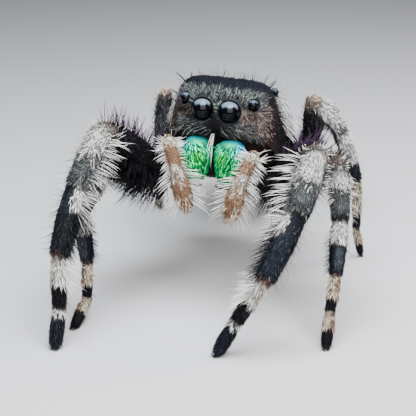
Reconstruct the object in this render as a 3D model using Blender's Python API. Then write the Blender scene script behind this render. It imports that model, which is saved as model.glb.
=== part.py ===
# A regal jumping spider, a large male at life size, standing with its head raised.
# The spider faces -Y, its own left is +X and the floor is the plane z = 0.
# Sizes are in millimetres. The root empty brings the whole model to metres.
import math
import random

import bmesh
import bpy
from mathutils import Matrix, Vector
from mathutils.bvhtree import BVHTree

MILLIMETRE = 0.001
NAME = "regal_jumping_spider"

# Where the middle of the footprint lies, seen from the point under the front eyes.
FOOTPRINT_MIDDLE = Vector((0.09, 4.25, 0.0))

# The head frame: its origin is midway between the two front eyes.
EYE_HEIGHT = 8.19
HEAD_PITCH = -14.73
HEAD_ROLL = 3.04

SEAM = 0.3  # gap between two nodes that meet
EYE_SEAM = 0.23  # gap round an eye in its socket
FRONT_LEG_SIDES = 3  # bevel resolution of the two front legs, which gives ten sides
OTHER_SIDES = 2

# Stations of the carapace and sternum, front to back, in the head frame:
# y, half width, top, margin, underside, half width of the sternum, squareness, lean of the sides.
CARAPACE = (
    (-0.02, 0.42, 0.42, -0.62, -0.70, 0.30, 2.6, 0.00),
    (0.08, 0.92, 0.68, -0.78, -0.86, 0.70, 3.0, 0.04),
    (0.30, 1.34, 0.86, -0.88, -0.98, 1.00, 3.6, 0.08),
    (0.62, 1.72, 1.00, -0.98, -1.08, 1.25, 4.2, 0.12),
    (1.05, 2.06, 1.10, -1.20, -1.30, 1.45, 4.6, 0.15),
    (1.48, 2.28, 1.17, -1.48, -1.62, 1.50, 4.6, 0.16),
    (1.80, 2.38, 1.20, -1.70, -2.72, 0.95, 4.4, 0.17),
    (2.40, 2.50, 1.20, -1.88, -3.00, 1.15, 4.0, 0.18),
    (3.15, 2.76, 1.12, -1.98, -3.05, 1.25, 3.2, 0.16),
    (3.90, 2.96, 0.88, -2.05, -3.05, 1.30, 2.7, 0.12),
    (4.70, 3.00, 0.42, -2.10, -3.05, 1.28, 2.4, 0.08),
    (5.50, 2.74, -0.14, -2.14, -3.00, 1.12, 2.2, 0.04),
    (6.20, 2.12, -0.80, -2.18, -2.86, 0.82, 2.1, 0.00),
    (6.75, 1.22, -1.40, -2.20, -2.66, 0.48, 2.0, 0.00),
    (7.02, 0.46, -1.74, -2.16, -2.42, 0.28, 2.0, 0.00),
)
UPPER_STEPS = 6  # steps from the top of a station down to its margin
# Below the margin: share of the way in to the sternum and share of the way down to it.
LOWER_SHAPE = ((0.30, 0.16), (0.85, 0.30), (1.0, 0.72))
STERNUM_FLAT = 0.62  # how much of the sternum's width is flat
STALK_RADIUS = 0.36
STALK_FROM = Vector((0.0, 6.3, -2.0))
STALK_TO = Vector((0.0, 7.35, -1.98))

# Eyes, in the head frame: place on the left side and radius.
EYES = {
    "front_middle": (Vector((0.57, 0.00, 0.00)), 0.45),
    "front_side": (Vector((1.43, 0.45, 0.36)), 0.25),
    "back_small": (Vector((1.80, 1.50, 0.62)), 0.13),
    "back_side": (Vector((1.92, 2.60, 0.92)), 0.23),
}
LARGE_EYE = 0.3  # from this radius on an eye has more facets
# Segments and rings of an eye and of its socket.
LARGE_EYE_FACETS = ((14, 8), (11, 7))
SMALL_EYE_FACETS = ((8, 6), (7, 5))

# Chelicerae: egg shapes under the face, each with its fang folded inwards.
CHELICERA_MIDDLE = Vector((0.735, 0.46, -2.20))
CHELICERA_HALF = Vector((0.60, 0.76, 0.89))
CHELICERA_FACETS = (14, 10)
CHELICERA_SPLAY = 4.0
CHELICERA_TAPER = 0.10
FANG = ((Vector((0.95, 0.30, -2.62)), 0.24), (Vector((0.82, 0.20, -3.06)), 0.21),
        (Vector((0.54, 0.14, -3.20)), 0.15), (Vector((0.26, 0.12, -3.12)), 0.07))

# Abdomen, swung a little to the spider's right, and the spinnerets behind it.
ABDOMEN_MIDDLE = Vector((-0.62, 10.50, 3.72))
ABDOMEN_HALF = Vector((2.14, 3.70, 2.02))
ABDOMEN_PITCH = -6.0
ABDOMEN_YAW = 8.0
ABDOMEN_FRONT = 0.14  # how much fuller the front third is
ABDOMEN_FACETS = (20, 13)
SPINNERET_ROOT = Vector((0.0, 3.90, -0.12))
SPINNERET_LENGTH = 0.85
SPINNERET_RADIUS = 0.30
# The four fingers, across and up from the middle of the group.
SPINNERET_PLACES = ((-1.0, 0.6), (1.0, 0.6), (-0.8, -0.7), (0.8, -0.7))
# Along a finger: share of its length, how far it stands from the middle, share of its radius.
SPINNERET_SHAPE = ((0.06, 0.16, 1.0), (0.55, 0.24, 0.85), (1.0, 0.29, 0.35))

# Palps, in the head frame: base, knee, end of the shin and tip of the last piece.
PALPS = {
    "right": (Vector((-1.98, 1.75, -3.00)), Vector((-1.72, -0.62, -1.42)),
              Vector((-1.18, -0.98, -2.50)), Vector((-0.50, -1.10, -4.12))),
    "left": (Vector((1.98, 1.75, -3.00)), Vector((1.86, -0.60, -1.66)),
             Vector((1.56, -0.92, -2.52)), Vector((1.22, -1.08, -4.34))),
}
PALP_TIP_SHAPE = ((0.22, 0.92), (0.5, 1.0), (0.8, 0.86))
PALP_FEMUR_SHAPE = ((0.0, 0.9), (0.4, 1.0), (0.8, 1.0))
PALP_SHIN_SHAPE = ((0.3, 1.0), (0.7, 1.0))
PALP_RADII = {"femur": 0.28, "shin": 0.29, "cymbium": 0.37}
PALP_KNEE = 0.26  # radius at the knee, at the wrist and at the end of the cymbium
PALP_WRIST = 0.27
PALP_END = 0.30

# Legs: lengths from knee to tip (patella, tibia, metatarsus, tarsus) and radii
# (femur, patella, tibia, metatarsus, tarsus), short fur included.
LEG_LENGTHS = {
    1: (2.61, 2.83, 2.15, 1.55),
    2: (2.36, 2.19, 1.52, 1.46),
    3: (1.93, 2.63, 2.67, 1.52),
    4: (1.90, 2.90, 3.00, 1.40),
}
LEG_RADII = {
    1: (0.72, 0.59, 0.50, 0.36, 0.31),
    2: (0.49, 0.46, 0.40, 0.30, 0.28),
    3: (0.46, 0.40, 0.36, 0.28, 0.26),
    4: (0.54, 0.44, 0.38, 0.29, 0.26),
}
# Each leg: hip in the head frame, knee in the part's frame, the way the leg points,
# how far its plane leans, and the pitch of patella, tibia and metatarsus.
LEGS = {
    "right_1": (Vector((-2.35, 2.45, -2.35)), Vector((-4.31, -1.91, 7.46)), 247.8, -9.2, (-41, -55, -77)),
    "right_2": (Vector((-2.60, 3.66, -2.84)), Vector((-4.54, -0.82, 5.62)), 247.9, -12.6, (-32, -83, -72)),
    "right_3": (Vector((-3.45, 4.72, -2.60)), Vector((-3.90, 6.50, 6.90)), 112.0, 0.0, (-35, -72, -84)),
    "right_4": (Vector((-2.75, 5.75, -2.60)), Vector((-3.42, 8.70, 6.22)), 102.0, 0.0, (-18, -46, -58)),
    "left_1": (Vector((2.35, 2.45, -2.35)), Vector((4.41, -1.87, 7.04)), -73.1, 30.4, (-46, -67, -96)),
    "left_2": (Vector((2.70, 3.66, -2.72)), Vector((5.14, -0.32, 6.27)), -55.4, 18.5, (-52, -64, -71)),
    "left_3": (Vector((3.60, 4.72, -2.60)), Vector((3.45, 3.44, 7.92)), 10.1, -10.5, (-47, -71, -88)),
    "left_4": (Vector((2.75, 5.75, -2.60)), Vector((3.15, 8.90, 6.00)), 80.0, 0.0, (-20, -50, -62)),
}
COXA_START = 1.62  # how far from the middle line a leg leaves the sternum
COXA_DROP = 0.32
COXA_GATHER = 0.04  # how far the coxae draw towards the middle of the sternum
STERNUM_MIDDLE = 4.2  # the middle of the sternum, along the head frame
COXA_RADIUS = 0.37
COXA_SHAPE = ((0.0, 1.0), (0.5, 1.05))
CLEARANCE_FACETS = (8, 6)
CORNER = 0.30  # how far from a joint the leg starts to bend
SHARP_CORNER = 0.5  # how much further, per radian of the bend
CORNER_CUT = 0.25  # how far the middle line cuts the corner
STUB = 1.1  # spare length past a joint, before the cut
TRIM_REACH = 1.6  # how far round a joint a cut reaches

# Thickness along a piece, as share of length and share of its radius.
FEMUR_SHAPE = ((0.04, 0.60), (0.20, 0.72), (0.45, 0.90), (0.72, 1.0), (0.96, 0.86))
PATELLA_SHAPE = ((0.08, 0.95), (0.45, 1.06), (0.88, 0.98))
TIBIA_SHAPE = ((0.08, 0.98), (0.40, 1.06), (0.88, 0.92))
METATARSUS_SHAPE = ((0.08, 0.92), (0.50, 1.0), (0.92, 0.96))
TARSUS_SHAPE = ((0.10, 1.0), (0.50, 1.06), (0.84, 0.92))
JOINT_PINCH = {"knee": 0.88, "mid": 0.86, "shin": 0.80, "toe": 0.90}
TIP_SHAPE = (0.62, 0.50)
BELOW_FLOOR = 0.16

# The back of a leg, where the angles of its fringes start: share of its upright and forward ways.
LEG_BACK = (0.8, 0.6)
# Fringes, brushes and bristles, as rows of flat tapered locks. Each row on a limb: piece,
# from and to as share of the piece, angle round it (0 is its back, 90 its front or inner side,
# 180 its belly), spread of the angle, how far it stands out, how many, and rake to the tip.
FRINGES = {
    "1_femur": (("femur", 0.34, 0.95, 0, 70, 0.50, 6, 30), ("femur", 0.30, 0.95, 180, 60, 0.50, 6, 35)),
    "1_shin": (("patella", 0.16, 0.92, 70, 40, 0.62, 5, 40), ("patella", 0.14, 0.92, 112, 34, 0.78, 7, 40),
               ("tibia", 0.14, 0.46, 100, 60, 0.62, 5, 38), ("tibia", 0.48, 0.94, 150, 80, 0.36, 2, 34),
               ("tibia", 0.20, 0.94, 270, 80, 0.30, 3, 34)),
    "1_foot": (("metatarsus", 0.18, 0.84, 78, 90, 0.62, 5, 44),
               ("metatarsus", 0.25, 0.80, 200, 60, 0.34, 2, 40)),
    "2_femur": (("femur", 0.40, 0.92, 180, 60, 0.40, 4, 35),),
    "2_shin": (("patella", 0.18, 0.90, 90, 60, 0.52, 6, 42), ("tibia", 0.16, 0.60, 95, 60, 0.50, 4, 40),
               ("tibia", 0.50, 0.92, 180, 80, 0.30, 2, 36)),
    "2_foot": (("metatarsus", 0.26, 0.78, 90, 90, 0.32, 2, 42),),
    "3_femur": (("femur", 0.55, 0.92, 0, 80, 0.36, 3, 32),),
    "3_shin": (("patella", 0.22, 0.90, 60, 80, 0.36, 4, 42), ("tibia", 0.16, 0.80, 60, 90, 0.36, 4, 40)),
    "3_foot": (("metatarsus", 0.20, 0.70, 90, 90, 0.28, 2, 42),),
    "4_femur": (("femur", 0.50, 0.92, 0, 80, 0.38, 3, 32),),
    "4_shin": (("patella", 0.22, 0.90, 40, 90, 0.36, 3, 42), ("tibia", 0.16, 0.85, 60, 120, 0.38, 5, 40)),
    "4_foot": (("metatarsus", 0.20, 0.80, 90, 120, 0.28, 2, 42),),
    "palp_shin": (("shin", 0.26, 0.72, 80, 40, 0.66, 2, 20), ("shin", 0.26, 0.72, 280, 40, 0.66, 2, 20)),
    "palp_cymbium": (("cymbium", 0.14, 0.86, 80, 50, 0.68, 5, 34),
                     ("cymbium", 0.14, 0.86, 280, 50, 0.68, 5, 34)),
}
# The white stripe behind each back eye: from and to in the head frame, on the left.
STRIPE_FROM = Vector((2.05, 3.05, 0.55))
STRIPE_TO = Vector((2.95, 3.75, -1.35))
STRIPE_LOCKS = 7
STRIPE_REACH = 0.42
STRIPE_RAKE = 50
STRIPE_SINK = 0.31
STRIPE_LIE = Vector((0.15, 0.45, -0.9))
LOCK_WIDTH = 0.52
LOCK_THICKNESS = 0.46
LOCK_ROOT_DEPTH = 0.55  # how deep a root sinks, as share of the limb's radius
LOCK_SHAPE = ((0.0, 1.0), (0.45, 0.92), (0.78, 0.58), (1.0, 0.12))  # share of length, share of width
LOCK_BEND = 0.28  # how far the tip bends to the lie, as share of the length
LOCK_SEAM = 0.24  # least gap between a lock and another node
LOCK_VARIETY = (0.88, 1.1)  # least and greatest length, as share of the row's
LOCK_SCATTER = 0.25  # how far a lock strays along its row, as share of a step
RAKE_SCATTER = 6.0
LOCK_SHORTER = (1.0, 0.8, 0.62, 0.46)  # lengths tried where a neighbour is near
LOCK_SEED = 10

WELD = 0.001  # points nearer than this are joined when a tube is closed
FINE_WELD = 0.00001  # and after a Boolean
SHARP_ANGLE = 50.0  # from here on an edge is drawn sharp
# Colours and finishes: red, green, blue, roughness, metallic.
FINISHES = {
    "black_cuticle": (0.012, 0.011, 0.016, 0.45, 0.0),
    "grey_fur": (0.16, 0.16, 0.165, 0.85, 0.0),
    "face_fur": (0.10, 0.085, 0.085, 0.85, 0.0),
    "eye_black": (0.004, 0.004, 0.006, 0.05, 0.0),
    "green_scale": (0.02, 0.42, 0.20, 0.28, 0.7),
    "palp_tan": (0.42, 0.24, 0.12, 0.75, 0.0),
    "white_fur": (0.72, 0.70, 0.64, 0.85, 0.0),
    "spinneret_brown": (0.05, 0.035, 0.03, 0.7, 0.0),
}

headFrame = (Matrix.Translation((0.0, 0.0, EYE_HEIGHT))
             @ Matrix.Rotation(math.radians(HEAD_PITCH), 4, "X")
             @ Matrix.Rotation(math.radians(HEAD_ROLL), 4, "Y"))
abdomenFrame = (Matrix.Translation(ABDOMEN_MIDDLE)
                @ Matrix.Rotation(math.radians(ABDOMEN_YAW), 4, "Z")
                @ Matrix.Rotation(math.radians(ABDOMEN_PITCH), 4, "X"))


def clearScene():
    for item in list(bpy.data.objects):
        bpy.data.objects.remove(item, do_unlink=True)


def newCollection(name):
    made = bpy.data.collections.new(name)
    bpy.context.scene.collection.children.link(made)
    return made


def finish(slot):
    material = bpy.data.materials.get(slot)
    if material is None:
        red, green, blue, roughness, metallic = FINISHES[slot]
        material = bpy.data.materials.new(slot)
        material.use_nodes = True
        shader = material.node_tree.nodes["Principled BSDF"]
        shader.inputs["Base Color"].default_value = (red, green, blue, 1.0)
        shader.inputs["Roughness"].default_value = roughness
        shader.inputs["Metallic"].default_value = metallic
    return material


def addObject(name, mesh, collection):
    made = bpy.data.objects.new(name, mesh)
    collection.objects.link(made)
    return made


def meshFrom(bm, name):
    mesh = bpy.data.meshes.new(name)
    bm.to_mesh(mesh)
    bm.free()
    return mesh


def lerp(start, end, share):
    return start + (end - start) * share


def tube(name, stations, resolution, collection):
    """A round tube through (place, radius) stations, as a closed mesh object."""
    curve = bpy.data.curves.new(name, "CURVE")
    curve.dimensions = "3D"
    curve.bevel_depth = 1.0
    curve.bevel_resolution = resolution
    curve.use_fill_caps = True
    spline = curve.splines.new("POLY")
    spline.points.add(len(stations) - 1)
    for point, (place, radius) in zip(spline.points, stations):
        point.co = (*place, 1.0)
        point.radius = radius
    guide = addObject(name + "_curve", curve, collection)
    bpy.context.view_layer.update()
    evaluated = guide.evaluated_get(bpy.context.evaluated_depsgraph_get())
    mesh = bpy.data.meshes.new_from_object(evaluated)
    bm = bmesh.new()
    bm.from_mesh(mesh)
    bmesh.ops.remove_doubles(bm, verts=bm.verts, dist=WELD)
    bm.to_mesh(mesh)
    bm.free()
    made = addObject(name, mesh, collection)
    made.matrix_world = guide.matrix_world
    bpy.data.objects.remove(guide, do_unlink=True)
    return made


def trim(target, place, normal, reach):
    """Cuts away what lies past a plane, within reach of a place, and closes the cut flat."""
    bm = bmesh.new()
    bm.from_mesh(target.data)
    near = {vertex for vertex in bm.verts if (vertex.co - place).length < reach}
    edges = [edge for edge in bm.edges if any(vertex in near for vertex in edge.verts)]
    faces = [face for face in bm.faces if any(vertex in near for vertex in face.verts)]
    cut = bmesh.ops.bisect_plane(bm, geom=list(near) + edges + faces, dist=0.0001, plane_co=place,
                                 plane_no=normal, clear_outer=True)
    rim = [item for item in cut["geom_cut"] if isinstance(item, bmesh.types.BMEdge)]
    bmesh.ops.edgeloop_fill(bm, edges=rim)
    bmesh.ops.recalc_face_normals(bm, faces=bm.faces)
    bm.to_mesh(target.data)
    bm.free()


def keepLargest(target):
    """Leaves a node only its largest closed surface."""
    bm = bmesh.new()
    bm.from_mesh(target.data)
    bmesh.ops.remove_doubles(bm, verts=bm.verts, dist=FINE_WELD)
    unseen = set(bm.verts)
    groups = []
    while unseen:
        stack = [unseen.pop()]
        group = set(stack)
        while stack:
            vertex = stack.pop()
            for edge in vertex.link_edges:
                other = edge.other_vert(vertex)
                if other in unseen:
                    unseen.discard(other)
                    group.add(other)
                    stack.append(other)
        groups.append(group)
    groups.sort(key=len)
    for group in groups[:-1]:
        bmesh.ops.delete(bm, geom=list(group), context="VERTS")
    bmesh.ops.recalc_face_normals(bm, faces=bm.faces)
    bm.to_mesh(target.data)
    bm.free()


def combine(target, tools, operation, solver="EXACT"):
    """One Boolean of a node with a collection of closed meshes, applied."""
    group = bpy.data.collections.new(target.name + "_tools")
    bpy.context.scene.collection.children.link(group)
    for tool in tools:
        for owner in list(tool.users_collection):
            owner.objects.unlink(tool)
        group.objects.link(tool)
    modifier = target.modifiers.new("combine", "BOOLEAN")
    modifier.operand_type = "COLLECTION"
    modifier.collection = group
    modifier.operation = operation
    modifier.solver = solver
    bpy.context.view_layer.update()
    evaluated = target.evaluated_get(bpy.context.evaluated_depsgraph_get())
    mesh = bpy.data.meshes.new_from_object(evaluated)
    target.modifiers.clear()
    target.data = mesh
    for tool in list(group.objects):
        bpy.data.objects.remove(tool, do_unlink=True)
    bpy.data.collections.remove(group)
    keepLargest(target)


def dress(target, slot):
    target.data.materials.clear()
    target.data.materials.append(finish(slot))
    for face in target.data.polygons:
        face.use_smooth = True
    target.data.set_sharp_from_angle(angle=math.radians(SHARP_ANGLE))


# The cephalothorax is a loft, because its stations change from a face to a sternum.
def stationOutline(halfWidth, top, margin, underside, sternum, squareness, lean):
    """Half of one station, from the top of the back down to the middle of the sternum."""
    outline = []
    height = top - margin
    for step in range(UPPER_STEPS + 1):
        angle = math.radians(90.0 * (1.0 - step / UPPER_STEPS))
        out = math.cos(angle) ** (2.0 / squareness) if step else 0.0
        rise = math.sin(angle) ** (2.0 / squareness) if step < UPPER_STEPS else 0.0
        outline.append((halfWidth * out * (1.0 - lean * rise), margin + height * rise))
    drop = margin - underside
    outline.extend((lerp(halfWidth, sternum, inward), margin - drop * down) for inward, down in LOWER_SHAPE)
    outline.append((sternum * STERNUM_FLAT, underside))
    outline.append((0.0, underside))
    return outline


def makeCephalothorax(collection):
    bm = bmesh.new()
    rings = []
    for y, halfWidth, top, margin, underside, sternum, squareness, lean in CARAPACE:
        half = stationOutline(halfWidth, top, margin, underside, sternum, squareness, lean)
        whole = half + [(-x, z) for x, z in reversed(half[1:-1])]
        rings.append([bm.verts.new((x, y, z)) for x, z in whole])
    for front, back in zip(rings, rings[1:]):
        for index in range(len(front)):
            following = (index + 1) % len(front)
            bm.faces.new((front[index], front[following], back[following], back[index]))
    bm.faces.new(rings[0])
    bm.faces.new(rings[-1])
    bmesh.ops.recalc_face_normals(bm, faces=bm.faces)
    made = addObject("cephalothorax", meshFrom(bm, "cephalothorax"), collection)
    made.data.transform(headFrame)
    stalk = tube("stalk", [(headFrame @ STALK_FROM, STALK_RADIUS), (headFrame @ STALK_TO, STALK_RADIUS)],
                 OTHER_SIDES, collection)
    combine(made, [stalk], "UNION")
    return made


def sphere(name, radius, facets, matrix, collection):
    bm = bmesh.new()
    bmesh.ops.create_uvsphere(bm, u_segments=facets[0], v_segments=facets[1], radius=radius)
    made = addObject(name, meshFrom(bm, name), collection)
    made.data.transform(matrix)
    return made


def makeEyes(head, collection):
    sockets = []
    for name, (place, radius) in EYES.items():
        ofEye, ofSocket = LARGE_EYE_FACETS if radius > LARGE_EYE else SMALL_EYE_FACETS
        for side, sign in (("left", 1.0), ("right", -1.0)):
            middle = Matrix.Translation((place.x * sign, place.y, place.z))
            upright = headFrame @ middle @ Matrix.Rotation(math.radians(90.0), 4, "X")
            eye = sphere("eye_" + name + "_" + side, radius, ofEye, upright, collection)
            dress(eye, "eye_black")
            sockets.append(sphere("socket", radius + EYE_SEAM, ofSocket, upright, collection))
    combine(head, sockets, "DIFFERENCE", "MANIFOLD")


def makeChelicerae(collection):
    for side, sign in (("left", 1.0), ("right", -1.0)):
        bm = bmesh.new()
        bmesh.ops.create_uvsphere(bm, u_segments=CHELICERA_FACETS[0], v_segments=CHELICERA_FACETS[1],
                                  radius=1.0)
        for vertex in bm.verts:
            narrowing = 1.0 + CHELICERA_TAPER * vertex.co.z
            vertex.co.x *= CHELICERA_HALF.x * narrowing
            vertex.co.y *= CHELICERA_HALF.y * narrowing
            vertex.co.z *= CHELICERA_HALF.z
        made = addObject("chelicera_" + side, meshFrom(bm, "chelicera"), collection)
        tilt = Matrix.Rotation(math.radians(-CHELICERA_SPLAY * sign), 4, "Y")
        place = CHELICERA_MIDDLE.copy()
        place.x *= sign
        made.data.transform(headFrame @ Matrix.Translation(place) @ tilt)
        fang = []
        for point, radius in FANG:
            fang.append((headFrame @ Vector((point.x * sign, point.y, point.z)), radius))
        combine(made, [tube("fang", fang, OTHER_SIDES, collection)], "UNION")
        dress(made, "green_scale")


def makeAbdomen(collection):
    bm = bmesh.new()
    bmesh.ops.create_uvsphere(bm, u_segments=ABDOMEN_FACETS[0], v_segments=ABDOMEN_FACETS[1], radius=1.0)
    bmesh.ops.rotate(bm, verts=bm.verts, matrix=Matrix.Rotation(math.radians(90.0), 3, "X"))
    for vertex in bm.verts:
        fullness = 1.0 - ABDOMEN_FRONT * vertex.co.y
        vertex.co.x *= ABDOMEN_HALF.x * fullness
        vertex.co.z *= ABDOMEN_HALF.z * fullness
        vertex.co.y *= ABDOMEN_HALF.y
    made = addObject("abdomen", meshFrom(bm, "abdomen"), collection)
    made.data.transform(abdomenFrame)
    dress(made, "grey_fur")


def makeSpinnerets(collection):
    fingers = []
    for across, up in SPINNERET_PLACES:
        stations = []
        for share, apart, thick in SPINNERET_SHAPE:
            place = SPINNERET_ROOT + Vector((across * apart, SPINNERET_LENGTH * share, up * apart))
            stations.append((place, SPINNERET_RADIUS * thick))
        fingers.append(tube("finger", stations, OTHER_SIDES, collection))
    made = fingers.pop(0)
    made.name = "spinnerets"
    combine(made, fingers, "UNION")
    made.data.transform(abdomenFrame)
    dress(made, "spinneret_brown")


def corner(before, joint, after):
    """How a limb runs round a joint: in, out, the middle of the bend, its way there and reach."""
    incoming = (joint - before).normalized()
    outgoing = (after - joint).normalized()
    reach = CORNER * (1.0 + incoming.angle(outgoing) * SHARP_CORNER)
    middle = joint + (outgoing - incoming) * (reach * CORNER_CUT)
    return incoming, outgoing, middle, (incoming + outgoing).normalized(), reach


def alongPiece(start, end, shape, radius, bends):
    """Stations of one straight piece, between the bends at its two ends."""
    before, after = bends
    way = (end - start).normalized()
    first = start + way * (before[4] if before else 0.0)
    last = end - way * (after[4] if after else 0.0)
    return [(lerp(first, last, share), radius * thick) for share, thick in shape]


def bent(joint, bend, radius):
    """The stations that round off a joint."""
    incoming, outgoing, middle, _, reach = bend
    return [(joint - incoming * reach, radius), (middle, radius), (joint + outgoing * reach, radius)]


def limbNode(name, points, shapes, radii, pinches, cuts, resolution, collection):
    """One piece of a limb. points runs from joint to joint, with the neighbouring joint
    beyond each end that is cut, and cuts says which ends are."""
    bends = [None] + [corner(*points[index:index + 3]) for index in range(len(points) - 2)] + [None]
    first = 1 if cuts[0] else 0
    last = len(points) - (2 if cuts[1] else 1)
    stations = []
    if cuts[0]:
        stations.append((points[1] - bends[1][0] * STUB, pinches[0]))
        stations.extend(bent(points[1], bends[1], pinches[0]))
    else:
        stations.append((points[0], radii[0] * shapes[0][0][1]))
    for piece, index in enumerate(range(first, last)):
        stations.extend(alongPiece(points[index], points[index + 1], shapes[piece], radii[piece],
                                   bends[index:index + 2]))
        if index + 1 < last:
            stations.extend(bent(points[index + 1], bends[index + 1], pinches[piece + 1]))
    if cuts[1]:
        stations.extend(bent(points[last], bends[last], pinches[-1]))
        stations.append((points[last] + bends[last][1] * STUB, pinches[-1]))
    else:
        direction = (points[last] - points[last - 1]).normalized()
        stations.append((points[last], radii[-1] * TIP_SHAPE[0]))
        stations.append((points[last] + direction * BELOW_FLOOR, radii[-1] * TIP_SHAPE[1]))
    made = tube(name, stations, resolution, collection)
    if cuts[0]:
        middle, normal = bends[1][2:4]
        trim(made, middle + normal * SEAM * 0.5, -normal, TRIM_REACH)
    if cuts[1]:
        middle, normal = bends[last][2:4]
        trim(made, middle - normal * SEAM * 0.5, normal, TRIM_REACH)
    return made


def legPoints(name):
    """Coxa start, hip, knee and the joints down to the tip, in the part's frame."""
    hip, knee, azimuth, lean, pitches = LEGS[name]
    lengths = LEG_LENGTHS[int(name[-1])]
    turn = math.radians(azimuth)
    tilt = math.radians(lean)
    level = Vector((math.cos(turn), math.sin(turn), 0.0))
    across = Vector((-math.sin(turn), math.cos(turn), 0.0))
    up = Vector((0.0, 0.0, math.cos(tilt))) + across * math.sin(tilt)
    sign = 1.0 if name.startswith("left") else -1.0
    coxa = Vector((COXA_START * sign, lerp(hip.y, STERNUM_MIDDLE, COXA_GATHER), hip.z - COXA_DROP))
    points = [headFrame @ coxa, headFrame @ hip, knee.copy()]
    for length, pitch in zip(lengths, pitches):
        slope = math.radians(pitch)
        points.append(points[-1] + (level * math.cos(slope) + up * math.sin(slope)) * length)
    drop = points[-1].z / (lengths[3] * math.cos(tilt))
    slope = -math.asin(min(1.0, drop))
    points.append(points[-1] + (level * math.cos(slope) + up * math.sin(slope)) * lengths[3])
    return points


def makeLeg(name, collection):
    femurRadius, patellaRadius, tibiaRadius, metatarsusRadius, tarsusRadius = LEG_RADII[int(name[-1])]
    sides = FRONT_LEG_SIDES if name.endswith("_1") else OTHER_SIDES
    coxa, hip, knee, mid, shin, toe, tip = legPoints(name)
    kneeRadius = patellaRadius * JOINT_PINCH["knee"]
    midRadius = tibiaRadius * JOINT_PINCH["mid"]
    shinRadius = metatarsusRadius * JOINT_PINCH["shin"]
    toeRadius = tarsusRadius * JOINT_PINCH["toe"]
    femur = limbNode("leg_" + name + "_femur", (coxa, hip, knee, mid), (COXA_SHAPE, FEMUR_SHAPE),
                     (COXA_RADIUS, femurRadius), (COXA_RADIUS, COXA_RADIUS, kneeRadius),
                     (False, True), sides, collection)
    shinNode = limbNode("leg_" + name + "_shin", (hip, knee, mid, shin, toe), (PATELLA_SHAPE, TIBIA_SHAPE),
                        (patellaRadius, tibiaRadius), (kneeRadius, midRadius, shinRadius),
                        (True, True), sides, collection)
    foot = limbNode("leg_" + name + "_foot", (mid, shin, toe, tip), (METATARSUS_SHAPE, TARSUS_SHAPE),
                    (metatarsusRadius, tarsusRadius), (shinRadius, toeRadius, tarsusRadius),
                    (True, False), sides, collection)
    floorPoint = Vector((tip.x, tip.y, 0.0))
    trim(foot, floorPoint, Vector((0.0, 0.0, -1.0)), TRIM_REACH)
    dress(femur, "black_cuticle")
    dress(shinNode, "grey_fur")
    dress(foot, "white_fur")
    return femur, shinNode, foot


def makePalp(side, collection):
    base, knee, wrist, tip = (headFrame @ point for point in PALPS[side])
    femur = limbNode("palp_" + side + "_femur", (base, knee, wrist), (PALP_FEMUR_SHAPE,),
                     (PALP_RADII["femur"],), (PALP_KNEE, PALP_KNEE), (False, True), OTHER_SIDES, collection)
    shin = limbNode("palp_" + side + "_shin", (base, knee, wrist, tip), (PALP_SHIN_SHAPE,),
                    (PALP_RADII["shin"],), (PALP_KNEE, PALP_WRIST), (True, True), OTHER_SIDES, collection)
    cymbium = limbNode("palp_" + side + "_cymbium", (knee, wrist, tip), (PALP_TIP_SHAPE,),
                       (PALP_RADII["cymbium"],), (PALP_WRIST, PALP_END), (True, False), OTHER_SIDES,
                       collection)
    for piece in (femur, shin, cymbium):
        dress(piece, "palp_tan")
    return femur, shin, cymbium


def hipClearance(name, collection):
    """Tubes round a leg's coxa and femur, a seam wider, that cut the body clear of it."""
    coxa, hip, knee = legPoints(name)[:3]
    femurRadius = LEG_RADII[int(name[-1])][0]
    inward = (hip - coxa).normalized()
    root = [(coxa - inward * SEAM, COXA_RADIUS + SEAM), (hip, COXA_RADIUS + SEAM)]
    thigh = [(hip, COXA_RADIUS + SEAM)]
    thigh.extend((lerp(hip, knee, share), femurRadius * thick + SEAM) for share, thick in FEMUR_SHAPE[1:4])
    ball = sphere("clearance", COXA_RADIUS + SEAM, CLEARANCE_FACETS, Matrix.Translation(hip), collection)
    return [tube("clearance", root, OTHER_SIDES, collection),
            tube("clearance", thigh, OTHER_SIDES, collection), ball]


def pieceRadius(shape, radius, share):
    """The radius of a limb at a share of one of its pieces."""
    for (fromShare, fromThick), (toShare, toThick) in zip(shape, shape[1:]):
        if share <= toShare:
            return radius * lerp(fromThick, toThick, max(0.0, (share - fromShare) / (toShare - fromShare)))
    return radius * shape[-1][1]


def lockStations(root, way, lie, length, width):
    """Places and half widths along the bent middle line of a lock."""
    stations = []
    for share, thick in LOCK_SHAPE:
        place = root + way * length * share + lie * length * LOCK_BEND * share * share
        stations.append((place, width * thick * 0.5))
    return stations


def lockObject(stations, way, lie, collection):
    """A flat, tapered, bent lock as one closed mesh."""
    bm = bmesh.new()
    across = (lie - way * lie.dot(way)).normalized()
    thick = way.cross(across)
    flat = LOCK_THICKNESS / LOCK_WIDTH
    rings = []
    for place, half in stations[:-1]:
        ring = [place + across * half, place + thick * half * flat,
                place - across * half, place - thick * half * flat]
        rings.append([bm.verts.new(point) for point in ring])
    tip = bm.verts.new(stations[-1][0])
    bm.faces.new(reversed(rings[0]))
    for lower, upper in zip(rings, rings[1:]):
        for index in range(4):
            following = (index + 1) % 4
            bm.faces.new((lower[index], lower[following], upper[following], upper[index]))
    for index in range(4):
        bm.faces.new((rings[-1][index], rings[-1][(index + 1) % 4], tip))
    bmesh.ops.recalc_face_normals(bm, faces=bm.faces)
    return addObject("lock", meshFrom(bm, "lock"), collection)


def isClear(stations, owner):
    """Whether a lock keeps a seam to every other node, to their locks and to the floor."""
    for place, half in stations[1:]:
        if place.z < half + SEAM:
            return False
        for name, tree in nodeTrees.items():
            if name != owner and tree.find_nearest(place, half + LOCK_SEAM)[0] is not None:
                return False
        for name, otherPlace, otherHalf in lockBeads:
            if name != owner and (place - otherPlace).length < half + otherHalf + LOCK_SEAM:
                return False
    return True


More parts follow.
